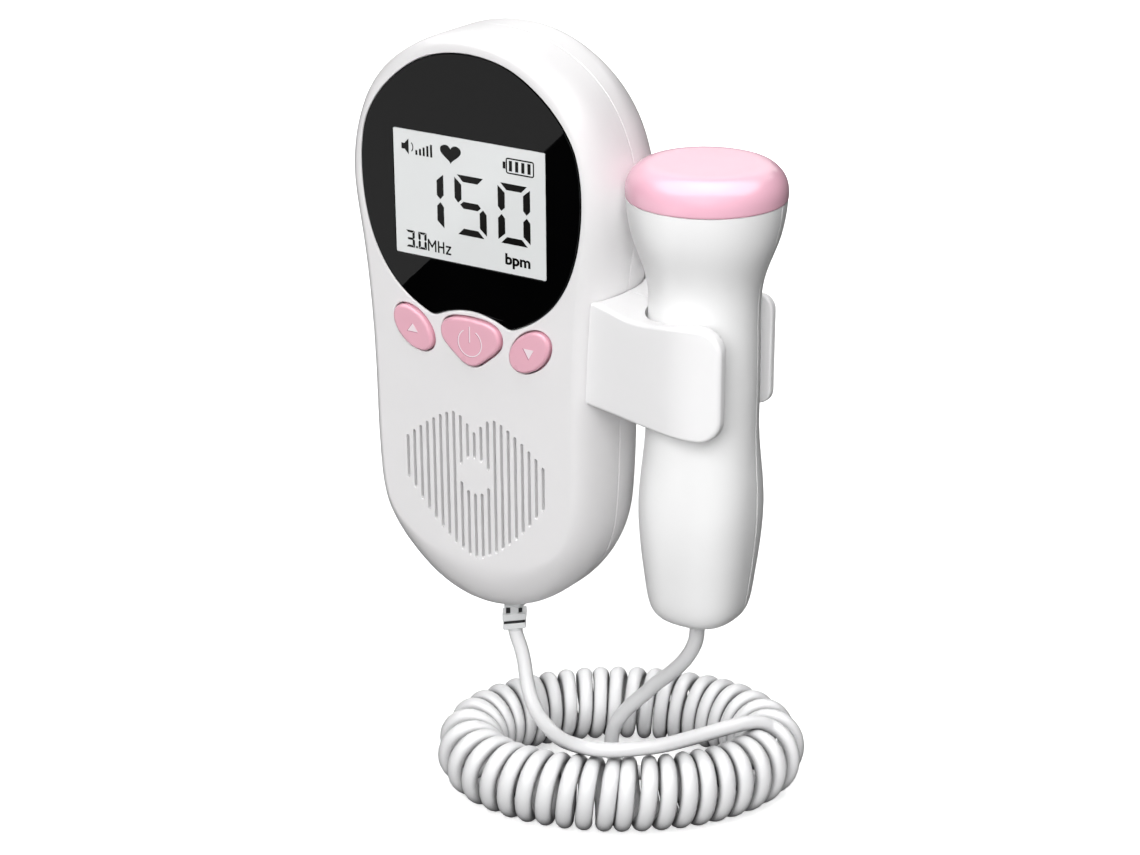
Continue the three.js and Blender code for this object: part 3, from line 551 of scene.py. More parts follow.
def cell_material():
    """Plain foil jacket of an AA cell."""
    m, nt, b = nodes_of("cell_jacket_grey")
    co = nt.nodes.new("ShaderNodeTexCoord").outputs["Object"]
    f = noise(nt, co, 700.0, 3.0, 0.5, (1, 1, 6))
    sep = nt.nodes.new("ShaderNodeSeparateXYZ")
    nt.links.new(co, sep.inputs[0])
    nt.links.new(ramp(nt, f, [(0.3, (0.2, 0.21, 0.23)), (0.7, (0.27, 0.28, 0.3))]), b.inputs["Base Color"])
    nt.links.new(spread(nt, f, 0.25, 0.42), b.inputs["Roughness"])
    b.inputs["Metallic"].default_value = 0.6
    bump(nt, b, f, 0.08, 0.00003)
    return m


def ceramic_material():
    m, nt, b = nodes_of("piezo_ceramic")
    co = nt.nodes.new("ShaderNodeTexCoord").outputs["Object"]
    f = noise(nt, co, 1800.0, 4.0, 0.6)
    nt.links.new(ramp(nt, f, [(0.3, (0.42, 0.35, 0.2)), (0.7, (0.56, 0.48, 0.3))]), b.inputs["Base Color"])
    nt.links.new(spread(nt, f, 0.4, 0.6), b.inputs["Roughness"])
    bump(nt, b, f, 0.2, 0.00003)
    return m


def backing_material():
    m, nt, b = nodes_of("damping_resin_brown")
    co = nt.nodes.new("ShaderNodeTexCoord").outputs["Object"]
    f = noise(nt, co, 900.0, 5.0, 0.7)
    nt.links.new(ramp(nt, f, [(0.3, (0.06, 0.03, 0.018)), (0.7, (0.14, 0.075, 0.045))]), b.inputs["Base Color"])
    nt.links.new(spread(nt, f, 0.6, 0.85), b.inputs["Roughness"])
    bump(nt, b, f, 0.4, 0.0001)
    return m


M["paper"] = paper_material()
M["board"] = board_material()
M["cloth"] = cloth_material()
M["cell"] = cell_material()
M["ceramic"] = ceramic_material()
M["backing"] = backing_material()


# ------------------------------------------------------------------ cord
CORD_D = 3.4
RING = dict(x=27.6, y=-8.0, z=-100.7, a=34.4, b=22.6, ra=6.2, rb=7.0, turn=math.radians(33.58))


def ring_point(t, q, ra=RING["ra"], rb=RING["rb"]):
    ex, ey = RING["a"] * math.cos(t), RING["b"] * math.sin(t)
    nx, ny = math.cos(t) / RING["a"], math.sin(t) / RING["b"]
    l = math.hypot(nx, ny)
    nx, ny = nx / l, ny / l
    lx, ly = ex + ra * math.cos(q) * nx, ey + ra * math.cos(q) * ny
    cs, sn = math.cos(RING["turn"]), math.sin(RING["turn"])
    return [RING["x"] + lx * cs - ly * sn, RING["y"] + lx * sn + ly * cs, RING["z"] + rb * math.sin(q)]


def ring_angle(p):
    cs, sn = math.cos(RING["turn"]), math.sin(RING["turn"])
    dx, dy = p[0] - RING["x"], p[1] - RING["y"]
    return math.atan2((dy * cs - dx * sn) / RING["b"], (dx * cs + dy * sn) / RING["a"])


def ring_frame(t):
    """Middle of the ring's section at t, with the directions outwards and along the ring."""
    mid, out = np.array(ring_point(t, 0, 0, 0)), np.array(ring_point(t, 0, 1, 0))
    out = out - mid
    return mid, out, np.array([-out[1], out[0], 0.0])


TAIL_PLUG = [
    [0.25, -11.0, -76.0], [0.8, -11.0, -78.2], [2.2, -11.3, -80.8], [3.8, -12.2, -84.1], [5.5, -13.8, -87.3], [8.5, -16.2, -90.6], [12.6, -19.0, -92.6],
    [17.6, -22.0, -93.3], [22.8, -25.2, -92.8], [28.4, -28.1, -91.3], [34.0, -29.2, -90.2], [38.5, -27.2, -90.1], [42.3, -23.6, -90.1], [45.3, -19.8, -90.3],
    [48.1, -14.4, -90.5], [50.8, -8.5, -90.6], [53.6, -2.6, -90.6], [56.0, 2.3, -90.9], [57.9, 5.3, -91.9],
]
TAIL_PROBE = [
    [51.7, -14.6, -60.9], [51.35, -14.5, -64.4], [49.6, -13.8, -68.3], [46.7, -12.8, -72.3], [43.0, -11.6, -76.3], [38.7, -10.2, -80.5], [34.9, -9.0, -84.6],
    [31.1, -8.0, -88.6], [27.9, -7.2, -92.4], [25.6, -6.7, -96.0], [24.3, -6.3, -99.6], [24.3, -6.3, -103.4], [26.6, -6.6, -106.4], [31.0, -5.6, -107.5], [36.8, -3.0, -107.6],
    [42.6, 0.6, -107.6], [48.0, 3.6, -107.6], [52.6, 6.4, -107.7],
]


def coil_points():
    """The coiled stretch: turns round the oval ring, wider apart where the ring bends hardest."""
    T0, T1 = math.radians(-12.0), math.radians(-366.0)
    ts = np.linspace(T0, T1, 4000)
    a, b = RING["a"], RING["b"]
    sp = np.sqrt((a * np.sin(ts)) ** 2 + (b * np.cos(ts)) ** 2)
    R = sp ** 3 / (a * b)
    pitch = np.maximum(4.15, 3.3 * R / (R - RING["ra"])) * (1 + 0.5 * np.exp(-(((ts - T1) / 0.16) ** 2)))
    turns = np.concatenate([[0], np.cumsum(0.5 * (sp[1:] / pitch[1:] + sp[:-1] / pitch[:-1]) * np.abs(np.diff(ts)))])
    total = round(turns[-1] - 0.5) + 0.5
    turns *= total / turns[-1]
    steps = int(round(total * 24))
    # from the top of the ring at its right end, clockwise seen from above, to a point under it
    q0 = math.radians(80)
    k = np.linspace(0, total, steps + 1)
    t = np.interp(k, turns, ts)
    n = int(total) + 2
    wob = np.interp(k, np.arange(n), rng.normal(0, 0.012, n))
    dr = np.interp(k, np.arange(n), rng.normal(0, 0.12, n))
    out = []
    for ki, ti, wi, di in zip(k, t, wob, dr):
        q = q0 - 2 * math.pi * ki
        fade = min(1.0, ki, total - ki)
        start = 0.7 * max(0.0, 1 - ki / 0.35)
        last = 0.7 * max(0.0, math.cos(q)) * max(0.0, 1 - abs(total - 0.5 - ki) / 0.5)
        out.append(ring_point(ti + wi * fade * 0.6, q, RING["ra"] + di * fade + start + last, RING["rb"] - abs(di) * 0.5 * fade + start))
    return np.array(out), total


coil_pts, COIL_TURNS = coil_points()
ctrl = np.vstack([TAIL_PLUG, coil_pts, TAIL_PROBE[::-1]])
mark_a = len(TAIL_PLUG) - 1
mark_b = len(TAIL_PLUG) + len(coil_pts)
SUB = 3
line = catmull(ctrl, False, SUB)


def even(path, step):
    s = np.sum(np.linalg.norm(np.diff(path, axis=0), axis=1))
    return resample(path, max(8, int(round(s / step)) + 1))


def frames(path):
    """Cross-section axes carried along a path without twist."""
    tan = np.gradient(path, axis=0)
    tan /= np.linalg.norm(tan, axis=1)[:, None]
    u = np.cross(tan[0], [0, 0, 1.0] if abs(tan[0][2]) < 0.9 else [1.0, 0, 0])
    U, W = [], []
    for k in tan:
        u = u - k * np.dot(u, k)
        u /= np.linalg.norm(u)
        U.append(u)
        W.append(np.cross(k, u))
    return np.array(U), np.array(W)


def tube(path, U, W, radius, sides):
    a = np.linspace(0, 2 * math.pi, sides, endpoint=False)
    return loft([p + radius * (np.cos(a)[:, None] * u + np.sin(a)[:, None] * w) for p, u, w in zip(path, U, W)])


def length_of(p):
    return float(np.sum(np.linalg.norm(np.diff(p, axis=0), axis=1)))


# one line of rings from end to end, parted where the coil begins and ends
STEP = 1.25
along = np.concatenate([[0], np.cumsum(np.linalg.norm(np.diff(line, axis=0), axis=1))])
whole = even(line, STEP)
gap_len = along[-1] / (len(whole) - 1)
ia, ib = int(round(along[mark_a * SUB] / gap_len)), int(round(along[mark_b * SUB] / gap_len))
U, W = frames(whole)
pa, pc, pb = whole[: ia + 1], whole[ia: ib + 1], whole[ib:]
R_CORD = CORD_D / 2
tail_a = make("cord_tail_plug", tube(pa, U[: ia + 1], W[: ia + 1], R_CORD, 18), M["jacket"], None, ("plug_cord_tail",), sharp=60, weighted=False)


def coil_mesh(path, U, W, radius, sides):
    """The coiled stretch, its section a little broader along the ring where a turn faces outwards."""
    a = np.linspace(0, 2 * math.pi, sides, endpoint=False)
    s = np.concatenate([[0], np.cumsum(np.linalg.norm(np.diff(path, axis=0), axis=1))])
    end = np.clip(np.minimum(s, s[-1] - s) / 40.0, 0, 1)
    rings = []
    for p, u, w, e in zip(path, U, W, end):
        t = ring_angle(p)
        mid, out, run = ring_frame(t)
        f = min(1.0, max(0.0, (float(np.dot(p - mid, out)) / RING["ra"] + 0.4) / 1.1))
        f = f * f * (3 - 2 * f) * e
        d = radius * (np.cos(a)[:, None] * u + np.sin(a)[:, None] * w)
        fwd = np.cross(u, w)
        side = run - fwd * np.dot(run, fwd)
        side /= np.linalg.norm(side)
        rings.append(p + d + 0.16 * f * (d @ side)[:, None] * side)
    return loft(rings)


coil = make("cord_coil", coil_mesh(pc, U[ia: ib + 1], W[ia: ib + 1], R_CORD, 18), M["jacket"], "unit", ("coiled_cord",), sharp=60, weighted=False)
tail_b = make("cord_tail_probe", tube(pb, U[ib:], W[ib:], R_CORD, 18), M["jacket"], None, ("probe_cord_tail",), sharp=60, weighted=False)
pb = pb[::-1]
pt(0.3, -11, -77)
pt(24.0, -26.0, -92.0)
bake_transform(tail_a)
pt(51.7, -14.6, -62.0)
pt(28.0, -7.2, -92.0)
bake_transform(tail_b)


# ------------------------------------------------------------------ unit shells
SEAM_Y, GAP = -12.9, 0.3
RF = dict(side=4.65, top=3.3, bottom=11.5)
RFY = dict(side=12.0, top=12.0, bottom=5.2)
RB = dict(side=5.7, top=8.4, bottom=18.2)
RBY = dict(side=12.4, top=6.8, bottom=12.3)
OUTLINE = [
    [0, 66.1], [5.0, 65.8], [9.7, 64.9], [14.2, 63.3], [18.5, 61.05], [22.5, 58.3], [26.0, 55.0], [28.9, 51.2],
    [31.15, 46.9], [32.8, 42.2], [33.9, 37.3], [34.3, 32.4], [34.0, 27.4], [33.25, 22.2], [32.45, 17.0], [31.75, 11.8],
    [31.2, 6.4], [30.8, 1.0], [30.45, -4.6], [30.25, -10.2], [30.12, -16.0], [30.08, -22.0], [30.0, -28.0], [29.75, -34.0],
    [29.35, -40.0], [28.45, -45.6], [26.5, -50.7], [23.6, -55.0], [20.0, -58.6], [15.9, -61.7], [10.9, -64.1], [5.5, -65.6], [0, -66.1],
]
WINDOW = [
    [0, 5.4], [3.5, 5.05], [7.1, 4.05], [9.4, 3.0], [10.5, 2.8], [12.0, 3.5], [15.0, 5.0], [18.0, 7.0], [21.2, 10.0],
    [23.8, 13.6], [25.8, 17.6], [27.3, 22.2], [28.3, 27.6], [28.7, 33.4], [28.4, 39.2], [27.2, 44.6], [24.9, 49.0],
    [21.6, 53.0], [17.4, 56.6], [12.6, 59.6], [7.0, 61.5], [0, 62.25],
]
LCD = dict(x=19.8, z0=15.8, z1=43.8)
OVAL = dict(cx=15.5, cz=-1.1, a=6.05, b=3.95, tilt=math.radians(41))
POWER_R = [(-90, 6.1), (-70, 5.9), (-50, 5.65), (-35, 5.9), (-20, 6.55), (-5, 7.55), (5, 7.9), (16, 8.0), (28, 7.6), (42, 6.55), (60, 5.45), (75, 4.98), (90, 4.85)]

NOUT = 288
OUT = mirror_loop(OUTLINE, NOUT, 2.2)
OUTN = loop_normals(OUT)


def front_y(z):
    return -26.2 - 0.0139 * np.asarray(z, float)


def by_way(o, nz):
    t, b = np.maximum(nz, 0) ** 2, np.maximum(-nz, 0) ** 2
    return o["side"] * (1 - t - b) + o["top"] * t + o["bottom"] * b


def ring_at(inset, y_of):
    nz = OUTN[:, 1]
    d = inset(nz) if callable(inset) else np.full(NOUT, float(inset))
    p = OUT - OUTN * d[:, None]
    y = y_of(nz, p[:, 1])
    return np.stack([p[:, 0], np.broadcast_to(y, (NOUT,)), p[:, 1]], 1)


def front_ring(q, extra=0.0, wall=0.0):
    q = math.radians(q)
    n = lambda nz: 2 + 1.8 * np.maximum(nz, 0) ** 2
    c = lambda nz: max(math.cos(q), 0.0) ** (2 / n(nz))
    s = lambda nz: max(math.sin(q), 0.0) ** (2 / n(nz))
    return ring_at(
        lambda nz: extra + np.maximum(by_way(RF, nz) - extra, 1) * (1 - c(nz)),
        lambda nz, z: front_y(z) + wall + np.maximum(by_way(RFY, nz) - wall, 1) * (1 - s(nz)),
    )


def back_ring(q, extra=0.0, wall=0.0):
    q = math.radians(q)
    return ring_at(
        lambda nz: extra + np.maximum(by_way(RB, nz) - extra, 1) * (1 - math.cos(q)),
        lambda nz, z: -wall - (by_way(RBY, nz) - wall) * (1 - math.sin(q)),
    )


Q_FRONT = [90, 89.2, 88, 86, 83, 79, 74, 68, 61, 54, 47, 40, 33, 26, 19, 12, 6, 0]
Q_BACK = [90, 86, 81, 75, 69, 63, 57, 51, 45, 39, 33, 27, 21, 15, 9, 4, 0]
Q_IN = [90, 75, 60, 45, 30, 15, 0]
SEAM_R = 0.15
front_seam, back_seam = SEAM_Y - 0.06, SEAM_Y + 0.06


def shell_rings(ring_fn, qs, seam, sign, walls=(2.2, 2.4)):
    """Outer skin from the face to the seam, a rounded seam edge, then the inner skin back."""
    rings = [ring_fn(q) for q in qs]
    e = SEAM_R
    # a lower stop keeps the straight side in front of the seam edge
    for d, y in ((0.0, e), (e * 0.08, e * 0.6), (e * 0.3, e * 0.3), (e * 0.62, e * 0.08), (e, 0.0)):
        rings.append(ring_at(d, lambda nz, z, y=y: np.full(NOUT, seam + sign * y)))
    rings.append(ring_at(walls[0], lambda nz, z: np.full(NOUT, seam)))
    rings += [ring_fn(q, walls[0], walls[1]) for q in reversed(Q_IN)]
    return rings


front_solid = loft(shell_rings(front_ring, Q_FRONT, front_seam, -1))
rear_solid = loft(shell_rings(back_ring, Q_BACK, back_seam, 1))


def ranged(loop, depth):
    """An x, z loop laid on the front plane, sunk by depth."""
    return np.stack([loop[:, 0], front_y(loop[:, 1]) + depth, loop[:, 1]], 1)


def flared(loop, r, bottom, top=-3.0, steps=4):
    """A cutter whose mouth leaves a rounded edge of radius r on the face."""
    rings = [ranged(grow(loop, r), top), ranged(grow(loop, r), 0.0)]
    for k in range(1, steps + 1):
        a = math.radians(90 * k / steps)
        rings.append(ranged(grow(loop, r * (1 - math.sin(a))), r * (1 - math.cos(a))))
    rings.append(ranged(loop, bottom))
    return loft(rings)


window_loop = mirror_loop(WINDOW, 260, 1.2)


def rounded_rect(x0, x1, z0, z1, r, steps=5):
    out = []
    for cx, cz, a0 in ((x1 - r, z0 + r, -90), (x1 - r, z1 - r, 0), (x0 + r, z1 - r, 90), (x0 + r, z0 + r, 180)):
        for k in range(steps + 1):
            a = math.radians(a0 + 90 * k / steps)
            out.append((cx + r * math.cos(a), cz + r * math.sin(a)))
    return np.array(out)


def oval_loop(side, g=0.0, n=72):
    t = np.linspace(0, 2 * math.pi, n, endpoint=False)
    a, b = (OVAL["a"] + g) * np.cos(t), (OVAL["b"] + g) * np.sin(t)
    x = side * (OVAL["cx"] + a * math.cos(OVAL["tilt"]) - b * math.sin(OVAL["tilt"]))
    z = OVAL["cz"] + a * math.sin(OVAL["tilt"]) + b * math.cos(OVAL["tilt"])
    return np.stack([x, z], 1)


power_base = mirror_loop([(r * math.cos(math.radians(d)), -1.1 + r * math.sin(math.radians(d))) for d, r in POWER_R], 96, 1.0)


def power_loop(g=0.0):
    return grow(power_base, g)


SLOT_PITCH, SLOT_W = 1.837, 0.72
SLOT_TOP = [-27.4, -25.8, -24.4, -23.0, -21.8, -20.6, -19.7, -19.1, -19.7, -21.3, -23.0]
SLOT_BOT = [-37.8, -40.0, -42.3, -44.5, -46.4, -48.1, -49.7, -51.0, -52.1, -53.1, -53.5]
DISC_Z, DISC_R = -33.5, 4.25


def slot_loop(x, za, zb, w=SLOT_W, n=6):
    r = w / 2
    out = []
    for cz, a0 in ((za + r, 180), (zb - r, 0)):
        for k in range(n + 1):
            a = math.radians(a0 + 180 * k / n)
            out.append((x + r * math.cos(a), cz + r * math.sin(a)))
    return np.array(out)


slots = []
for i in range(21):
    k = i if i <= 10 else 20 - i
    x = (i - 10) * SLOT_PITCH
    h2 = DISC_R ** 2 - x ** 2
    if h2 > 0:
        h = math.sqrt(h2)
        slots += [(x, DISC_Z + h, SLOT_TOP[k]), (x, SLOT_BOT[k], DISC_Z - h)]
    else:
        slots.append((x, SLOT_BOT[k], SLOT_TOP[k]))

slot_cut = Mesh()
for x, za, zb in slots:
    slot_cut.add(flared(slot_loop(x, za, zb), 0.14, 5.0, steps=3))
key_cut = Mesh()
for loop in (oval_loop(1, 0.35), oval_loop(-1, 0.35), power_loop(0.35)):
    key_cut.add(flared(loop, 0.3, 6.0))
cloth_pocket = loft([ranged(rounded_rect(-20.6, 20.6, -55.2, -17.6, 6.0), d) for d in (1.25, 3.2)])

front_mesh = cut(
    front_solid,
    ("DIFFERENCE", flared(grow(window_loop, 0.13), 0.27, 1.45)),
    ("DIFFERENCE", loft([ranged(rounded_rect(-20.2, 20.2, 15.4, 44.2, 0.6), d) for d in (1.0, 5.0)])),
    ("DIFFERENCE", key_cut),
    ("DIFFERENCE", slot_cut),
    ("DIFFERENCE", cloth_pocket),
    ("DIFFERENCE", box_mesh(-4.25, 4.25, -14.7, -7.3, -70, -59, 1.0)),
)
front = make("shell_front", front_mesh, M["shell"], "unit", ("front_shell",))

# rear shell: battery bay, door recess, screw wells, jack hole
BAY = dict(x=17.6, z0=-44.6, z1=11.6)
BOSS = [(24.3, 46.6), (-24.3, 46.6), (23.4, -40.5), (-23.4, -40.5)]
rear_form = loft([back_ring(q) for q in Q_BACK] + [ring_at(0.0, lambda nz, z: np.full(NOUT, back_seam))])


def y_bar(x, z, r, y0, y1, seg=40, flare=0.0):
    prof = [(0, y0), (r, y0), (r, y1), (0, y1)]
    if flare:
        prof = [(0, y0), (r, y0), (r, -flare), (r + flare * 0.3, -flare * 0.3), (r + flare, 0.0), (r + flare, y1), (0, y1)]
    return lathe(prof, (x, 0, z), "y", seg)


wells = Mesh()
bosses = Mesh()
for bx, bz in BOSS:
    bosses.add(y_bar(bx, bz, 4.0, back_seam, -1.2))
    wells.add(y_bar(bx, bz, 3.05, -8.6, 3.0, 48, 0.3))
thread = Mesh()
for bx, bz in BOSS:
    thread.add(y_bar(bx, bz, 1.55, -14, -8.0, 24))


def plan_slab(loop, y0, y1):
    return loft([np.stack([loop[:, 0], np.full(len(loop), y), loop[:, 1]], 1) for y in (y0, y1)])


rear_mesh = cut(
    rear_solid,
    ("UNION", cut(bosses, ("INTERSECT", rear_form))),
    ("UNION", cut(box_mesh(-18.9, 18.9, -17.4, -1.0, -45.9, 12.9), ("DIFFERENCE", box_mesh(-25, 25, back_seam, 3, -60, 30)))),
    ("UNION", cut(box_mesh(-18.9, 18.9, back_seam - 0.4, -1.0, -45.9, 12.9), ("INTERSECT", rear_form))),
    ("DIFFERENCE", box_mesh(-17.6, 17.6, -16.7, 3, -44.6, 11.6)),
    ("DIFFERENCE", plan_slab(rounded_rect(-19.1, 19.1, -46.2, 13.2, 1.6), -1.85, 3)),
    ("DIFFERENCE", wells),
    ("DIFFERENCE", thread),
    ("DIFFERENCE", box_mesh(-4.25, 4.25, -14.7, -7.3, -70, -59, 1.0)),
    ("DIFFERENCE", lathe([(0, -36), (3.6, -36), (3.6, -30.4), (3.1, -29.9), (3.1, -19.1), (0, -19.1)], (0, -7.4, -22), "x", 48)),
)
rear = make("shell_rear", rear_mesh, M["shell"], "unit", ("rear_shell",))


def door_mesh():
    loop = rounded_rect(-18.8, 18.8, -45.9, 12.9, 1.4)
    rings = []
    for d, y in ((0.0, -1.5), (0.0, -0.32), (0.04, -0.18), (0.12, -0.07), (0.3, 0.0)):
        g = grow(loop, -d)
        rings.append(np.stack([g[:, 0], np.full(len(g), y), g[:, 1]], 1))
    body = loft(rings)
    grips = Mesh()
    for i in range(4):
        z = 9.6 - i * 1.6
        w = 6.0 - i * 0.9
        l = slot_loop(0, -w, w, 0.85, 6)[:, ::-1]
        l = l + np.array([0, z])
        gr = []
        for g, y in ((0.15, 1.0), (0.15, 0.0), (0.04, -0.06), (0.0, -0.15), (0.0, -0.5)):
            k = grow(l, g)
            gr.append(np.stack([k[:, 0], np.full(len(k), y), k[:, 1]], 1))
        grips.add(loft(gr))
    return cut(body, ("INTERSECT", rear_form), ("DIFFERENCE", grips))


door = make("door_panel", door_mesh(), M["shell"], "door", ("battery_door",))


# screws with a cross recess
def screw_mesh(x, z):
    head = lathe([(0, -21.4), (0.5, -21.4), (1.05, -20.4), (1.05, -8.25), (2.7, -8.25), (2.75, -8.1), (2.75, -7.2), (2.55, -6.8), (1.9, -6.45), (1.0, -6.2), (0, -6.12)], (x, 0, z), "y", 40)
    cross = cut(box_mesh(x - 1.5, x + 1.5, -7.3, -5, z - 0.3, z + 0.3), ("UNION", box_mesh(x - 0.3, x + 0.3, -7.3, -5, z - 1.5, z + 1.5)))
    return cut(head, ("DIFFERENCE", cross))


for i, (bx, bz) in enumerate(BOSS):
    make(f"screw_{i + 1}", screw_mesh(bx, bz), M["steel"], "unit", (f"case_screw_{i + 1}",))

make("jack_bush", lathe([(1.85, -29.55), (2.3, -29.7), (2.65, -29.6), (2.75, -29.3), (2.75, -19.3), (0, -19.3), (0, -20.7), (1.85, -20.7)], (0, -7.4, -22), "x", 56), M["dark"], "unit", ("earphone_jack",))


# ------------------------------------------------------------------ display
def pane_mesh():
    rings = [ranged(grow(window_loop, 0.0), 1.15), ranged(grow(window_loop, 0.0), 0.2)]
    for d, y in ((0.03, 0.12), (0.1, 0.07), (0.2, 0.06)):
        rings.append(ranged(grow(window_loop, -d), y))
    hole = rounded_rect(-19.9, 19.9, 15.7, 43.9, 0.35)
    return cut(loft(rings), ("DIFFERENCE", loft([ranged(grow(hole, 0.06), -3.0), ranged(grow(hole, 0.06), 0.06), ranged(hole, 0.12), ranged(hole, 3.0)])))


make("window_pane", pane_mesh(), M["window"], "unit", ("display_window",))

lcd_loop = rounded_rect(-19.82, 19.82, 15.78, 43.82, 0.3)
make("display_glass", loft([ranged(lcd_loop, 3.2), ranged(lcd_loop, 0.17), ranged(grow(lcd_loop, -0.05), 0.12)]), M["lcd"], "unit", ("lcd_panel",))

INK_TOP, INK_BASE = 0.07, 0.115


def slab_on(loop, top=INK_TOP, base=INK_BASE):
    return loft([ranged(np.asarray(loop, float), base), ranged(np.asarray(loop, float), top)])


def seven(x0, z0, w, h, t, gap, which):
    """Seven-segment figure with mitred ends; segment letters as usual, a at the top, clockwise."""
    x1, z1, zm = x0 + w, z0 + h, z0 + h * 0.503
    g = gap
    m = t * 0.82
    parts = {
        "a": [(x0 + g * 1.2, z1), (x1 - g * 1.2, z1), (x1 - t - g * 0.75, z1 - m), (x0 + t + g * 0.75, z1 - m)],
        "d": [(x0 + g * 1.2, z0), (x0 + t + g * 0.75, z0 + m), (x1 - t - g * 0.75, z0 + m), (x1 - g * 1.2, z0)],
        "f": [(x0, z1 - g * 1.1), (x0 + t, z1 - t - g * 0.6), (x0 + t, zm + m * 0.5 + g * 0.75), (x0 + t * 0.5, zm + g * 0.55), (x0, zm + m * 0.5 + g * 0.95)],
        "b": [(x1, z1 - g * 1.1), (x1, zm + m * 0.5 + g * 0.95), (x1 - t * 0.5, zm + g * 0.55), (x1 - t, zm + m * 0.5 + g * 0.75), (x1 - t, z1 - t - g * 0.6)],
        "e": [(x0, z0 + g * 1.1), (x0, zm - m * 0.5 - g * 0.95), (x0 + t * 0.5, zm - g * 0.55), (x0 + t, zm - m * 0.5 - g * 0.75), (x0 + t, z0 + t + g * 0.6)],
        "c": [(x1, z0 + g * 1.1), (x1 - t, z0 + t + g * 0.6), (x1 - t, zm - m * 0.5 - g * 0.75), (x1 - t * 0.5, zm - g * 0.55), (x1, zm - m * 0.5 - g * 0.95)],
        "g": [(x0 + t * 0.5 + g * 0.9, zm), (x0 + t + g * 0.8, zm + m * 0.52), (x1 - t - g * 0.8, zm + m * 0.52), (x1 - t * 0.5 - g * 0.9, zm), (x1 - t - g * 0.8, zm - m * 0.52), (x0 + t + g * 0.8, zm - m * 0.52)],
    }
    out = Mesh()
    for k in which:
        out.add(slab_on(parts[k]))
    return out


FIGURES = {"0": "abcdef", "1": "bc", "3": "abcdg", "5": "acdfg"}
ink = Mesh()
for ch, x0 in (("1", -14.95), ("5", -3.7), ("0", 7.62)):
    ink.add(seven(x0, 22.45, 8.3, 13.35, 1.78, 0.62, FIGURES[ch]))


def arc(cx, cz, r, a0, a1, w, n=12):
    a = np.radians(np.linspace(a0, a1, n))
    o = np.stack([cx + (r + w / 2) * np.cos(a), cz + (r + w / 2) * np.sin(a)], 1)
    i = np.stack([cx + (r - w / 2) * np.cos(a), cz + (r - w / 2) * np.sin(a)], 1)
    return np.vstack([o, i[::-1]])


# loudspeaker sign with five rising bars
ink.add(slab_on([(-17.6, 39.4), (-16.75, 39.4), (-15.7, 38.3), (-15.7, 41.8), (-16.75, 40.7), (-17.6, 40.7)]))
ink.add(slab_on(arc(-15.9, 40.05, 1.35, -45, 45, 0.24)))
for i, (z0, z1) in enumerate(((38.5, 39.55), (38.5, 39.95), (38.5, 40.4), (38.5, 40.85), (38.5, 41.3))):
    x = -13.9 + i * 0.99
    ink.add(slab_on([(x, z0), (x + 0.52, z0), (x + 0.52, z1), (x, z1)]))
# heart
t = np.linspace(0, 2 * math.pi, 48, endpoint=False)
hx, hz = 16 * np.sin(t) ** 3, 13 * np.cos(t) - 5 * np.cos(2 * t) - 2 * np.cos(3 * t) - np.cos(4 * t)
ink.add(slab_on(np.stack([-4.55 + hx * 0.172, 40.2 + hz * 0.142], 1)))


# battery sign: frame, terminal at the left, four bars
def frame_of(x0, x1, z0, z1, w, r):
    o, i = rounded_rect(x0, x1, z0, z1, r, 3), rounded_rect(x0 + w, x1 - w, z0 + w, z1 - w, max(r - w, 0.05), 3)
    v, f = fill([o, i])
    inside = lambda p: x0 + w * 1.02 < p[0] < x1 - w * 1.02 and z0 + w * 1.02 < p[1] < z1 - w * 1.02
    f = [q for q in f if not inside(np.mean([v[k] for k in q], axis=0))]
    top = np.stack([v[:, 0], front_y(v[:, 1]) + INK_TOP, v[:, 1]], 1)
    base = top + np.array([0, INK_BASE - INK_TOP, 0])
    m = Mesh(np.vstack([top, base]), list(f) + [tuple(k + len(v) for k in q[::-1]) for q in f])
    edges = {}
    for q in f:
        for a, b in zip(q, q[1:] + q[:1]):
            edges[(a, b)] = edges.get((a, b), 0) + 1
    for a, b in list(edges):
        if (b, a) not in edges:
            m.f.append((b, a, a + len(v), b + len(v)))
    m.m = [0] * len(m.f)
    return m.outward()


ink.add(frame_of(9.85, 17.05, 38.0, 41.5, 0.3, 0.5))
ink.add(slab_on([(9.05, 39.0), (9.75, 39.0), (9.75, 40.5), (9.05, 40.5)]))
for i in range(4):
    x = 10.65 + i * 1.58
    ink.add(slab_on([(x, 38.6), (x + 0.78, 38.6), (x + 0.78, 40.9), (x, 40.9)]))
# unit marks
ink.add(seven(-17.1, 17.3, 2.35, 3.85, 0.6, 0.05, FIGURES["3"]))
ink.add(seven(-13.75, 17.3, 2.2, 3.85, 0.6, 0.05, FIGURES["0"]))
ink.add(slab_on([(-14.45, 17.3), (-14.0, 17.3), (-14.0, 17.78), (-14.45, 17.78)]))


def letters(text, x, z, width, height, bold=0.0):
    """Flat letters of the built-in face, fitted to a width and a cap height, raised as ink."""
    cu = bpy.data.curves.new("t", "FONT")
    cu.body = text
    cu.offset = bold
    cu.extrude = 0.5
    cu.resolution_u = 4
    o = bpy.data.objects.new("t", cu)
    scene.collection.objects.link(o)
    dg = bpy.context.evaluated_depsgraph_get()
    me = bpy.data.meshes.new_from_object(o.evaluated_get(dg))
    v = np.array([tuple(p.co) for p in me.vertices])
    f = [tuple(p.vertices) for p in me.polygons]
    bpy.data.objects.remove(o)
    lo, hi = v.min(0), v.max(0)
    X = x + (v[:, 0] - lo[0]) / (hi[0] - lo[0]) * width
    Z = z + (v[:, 1] - lo[1]) / (hi[1] - lo[1]) * height
    Y = front_y(Z) + np.where(v[:, 2] > 0, INK_TOP, INK_BASE)
    return Mesh(np.stack([X, Y, Z], 1), f)


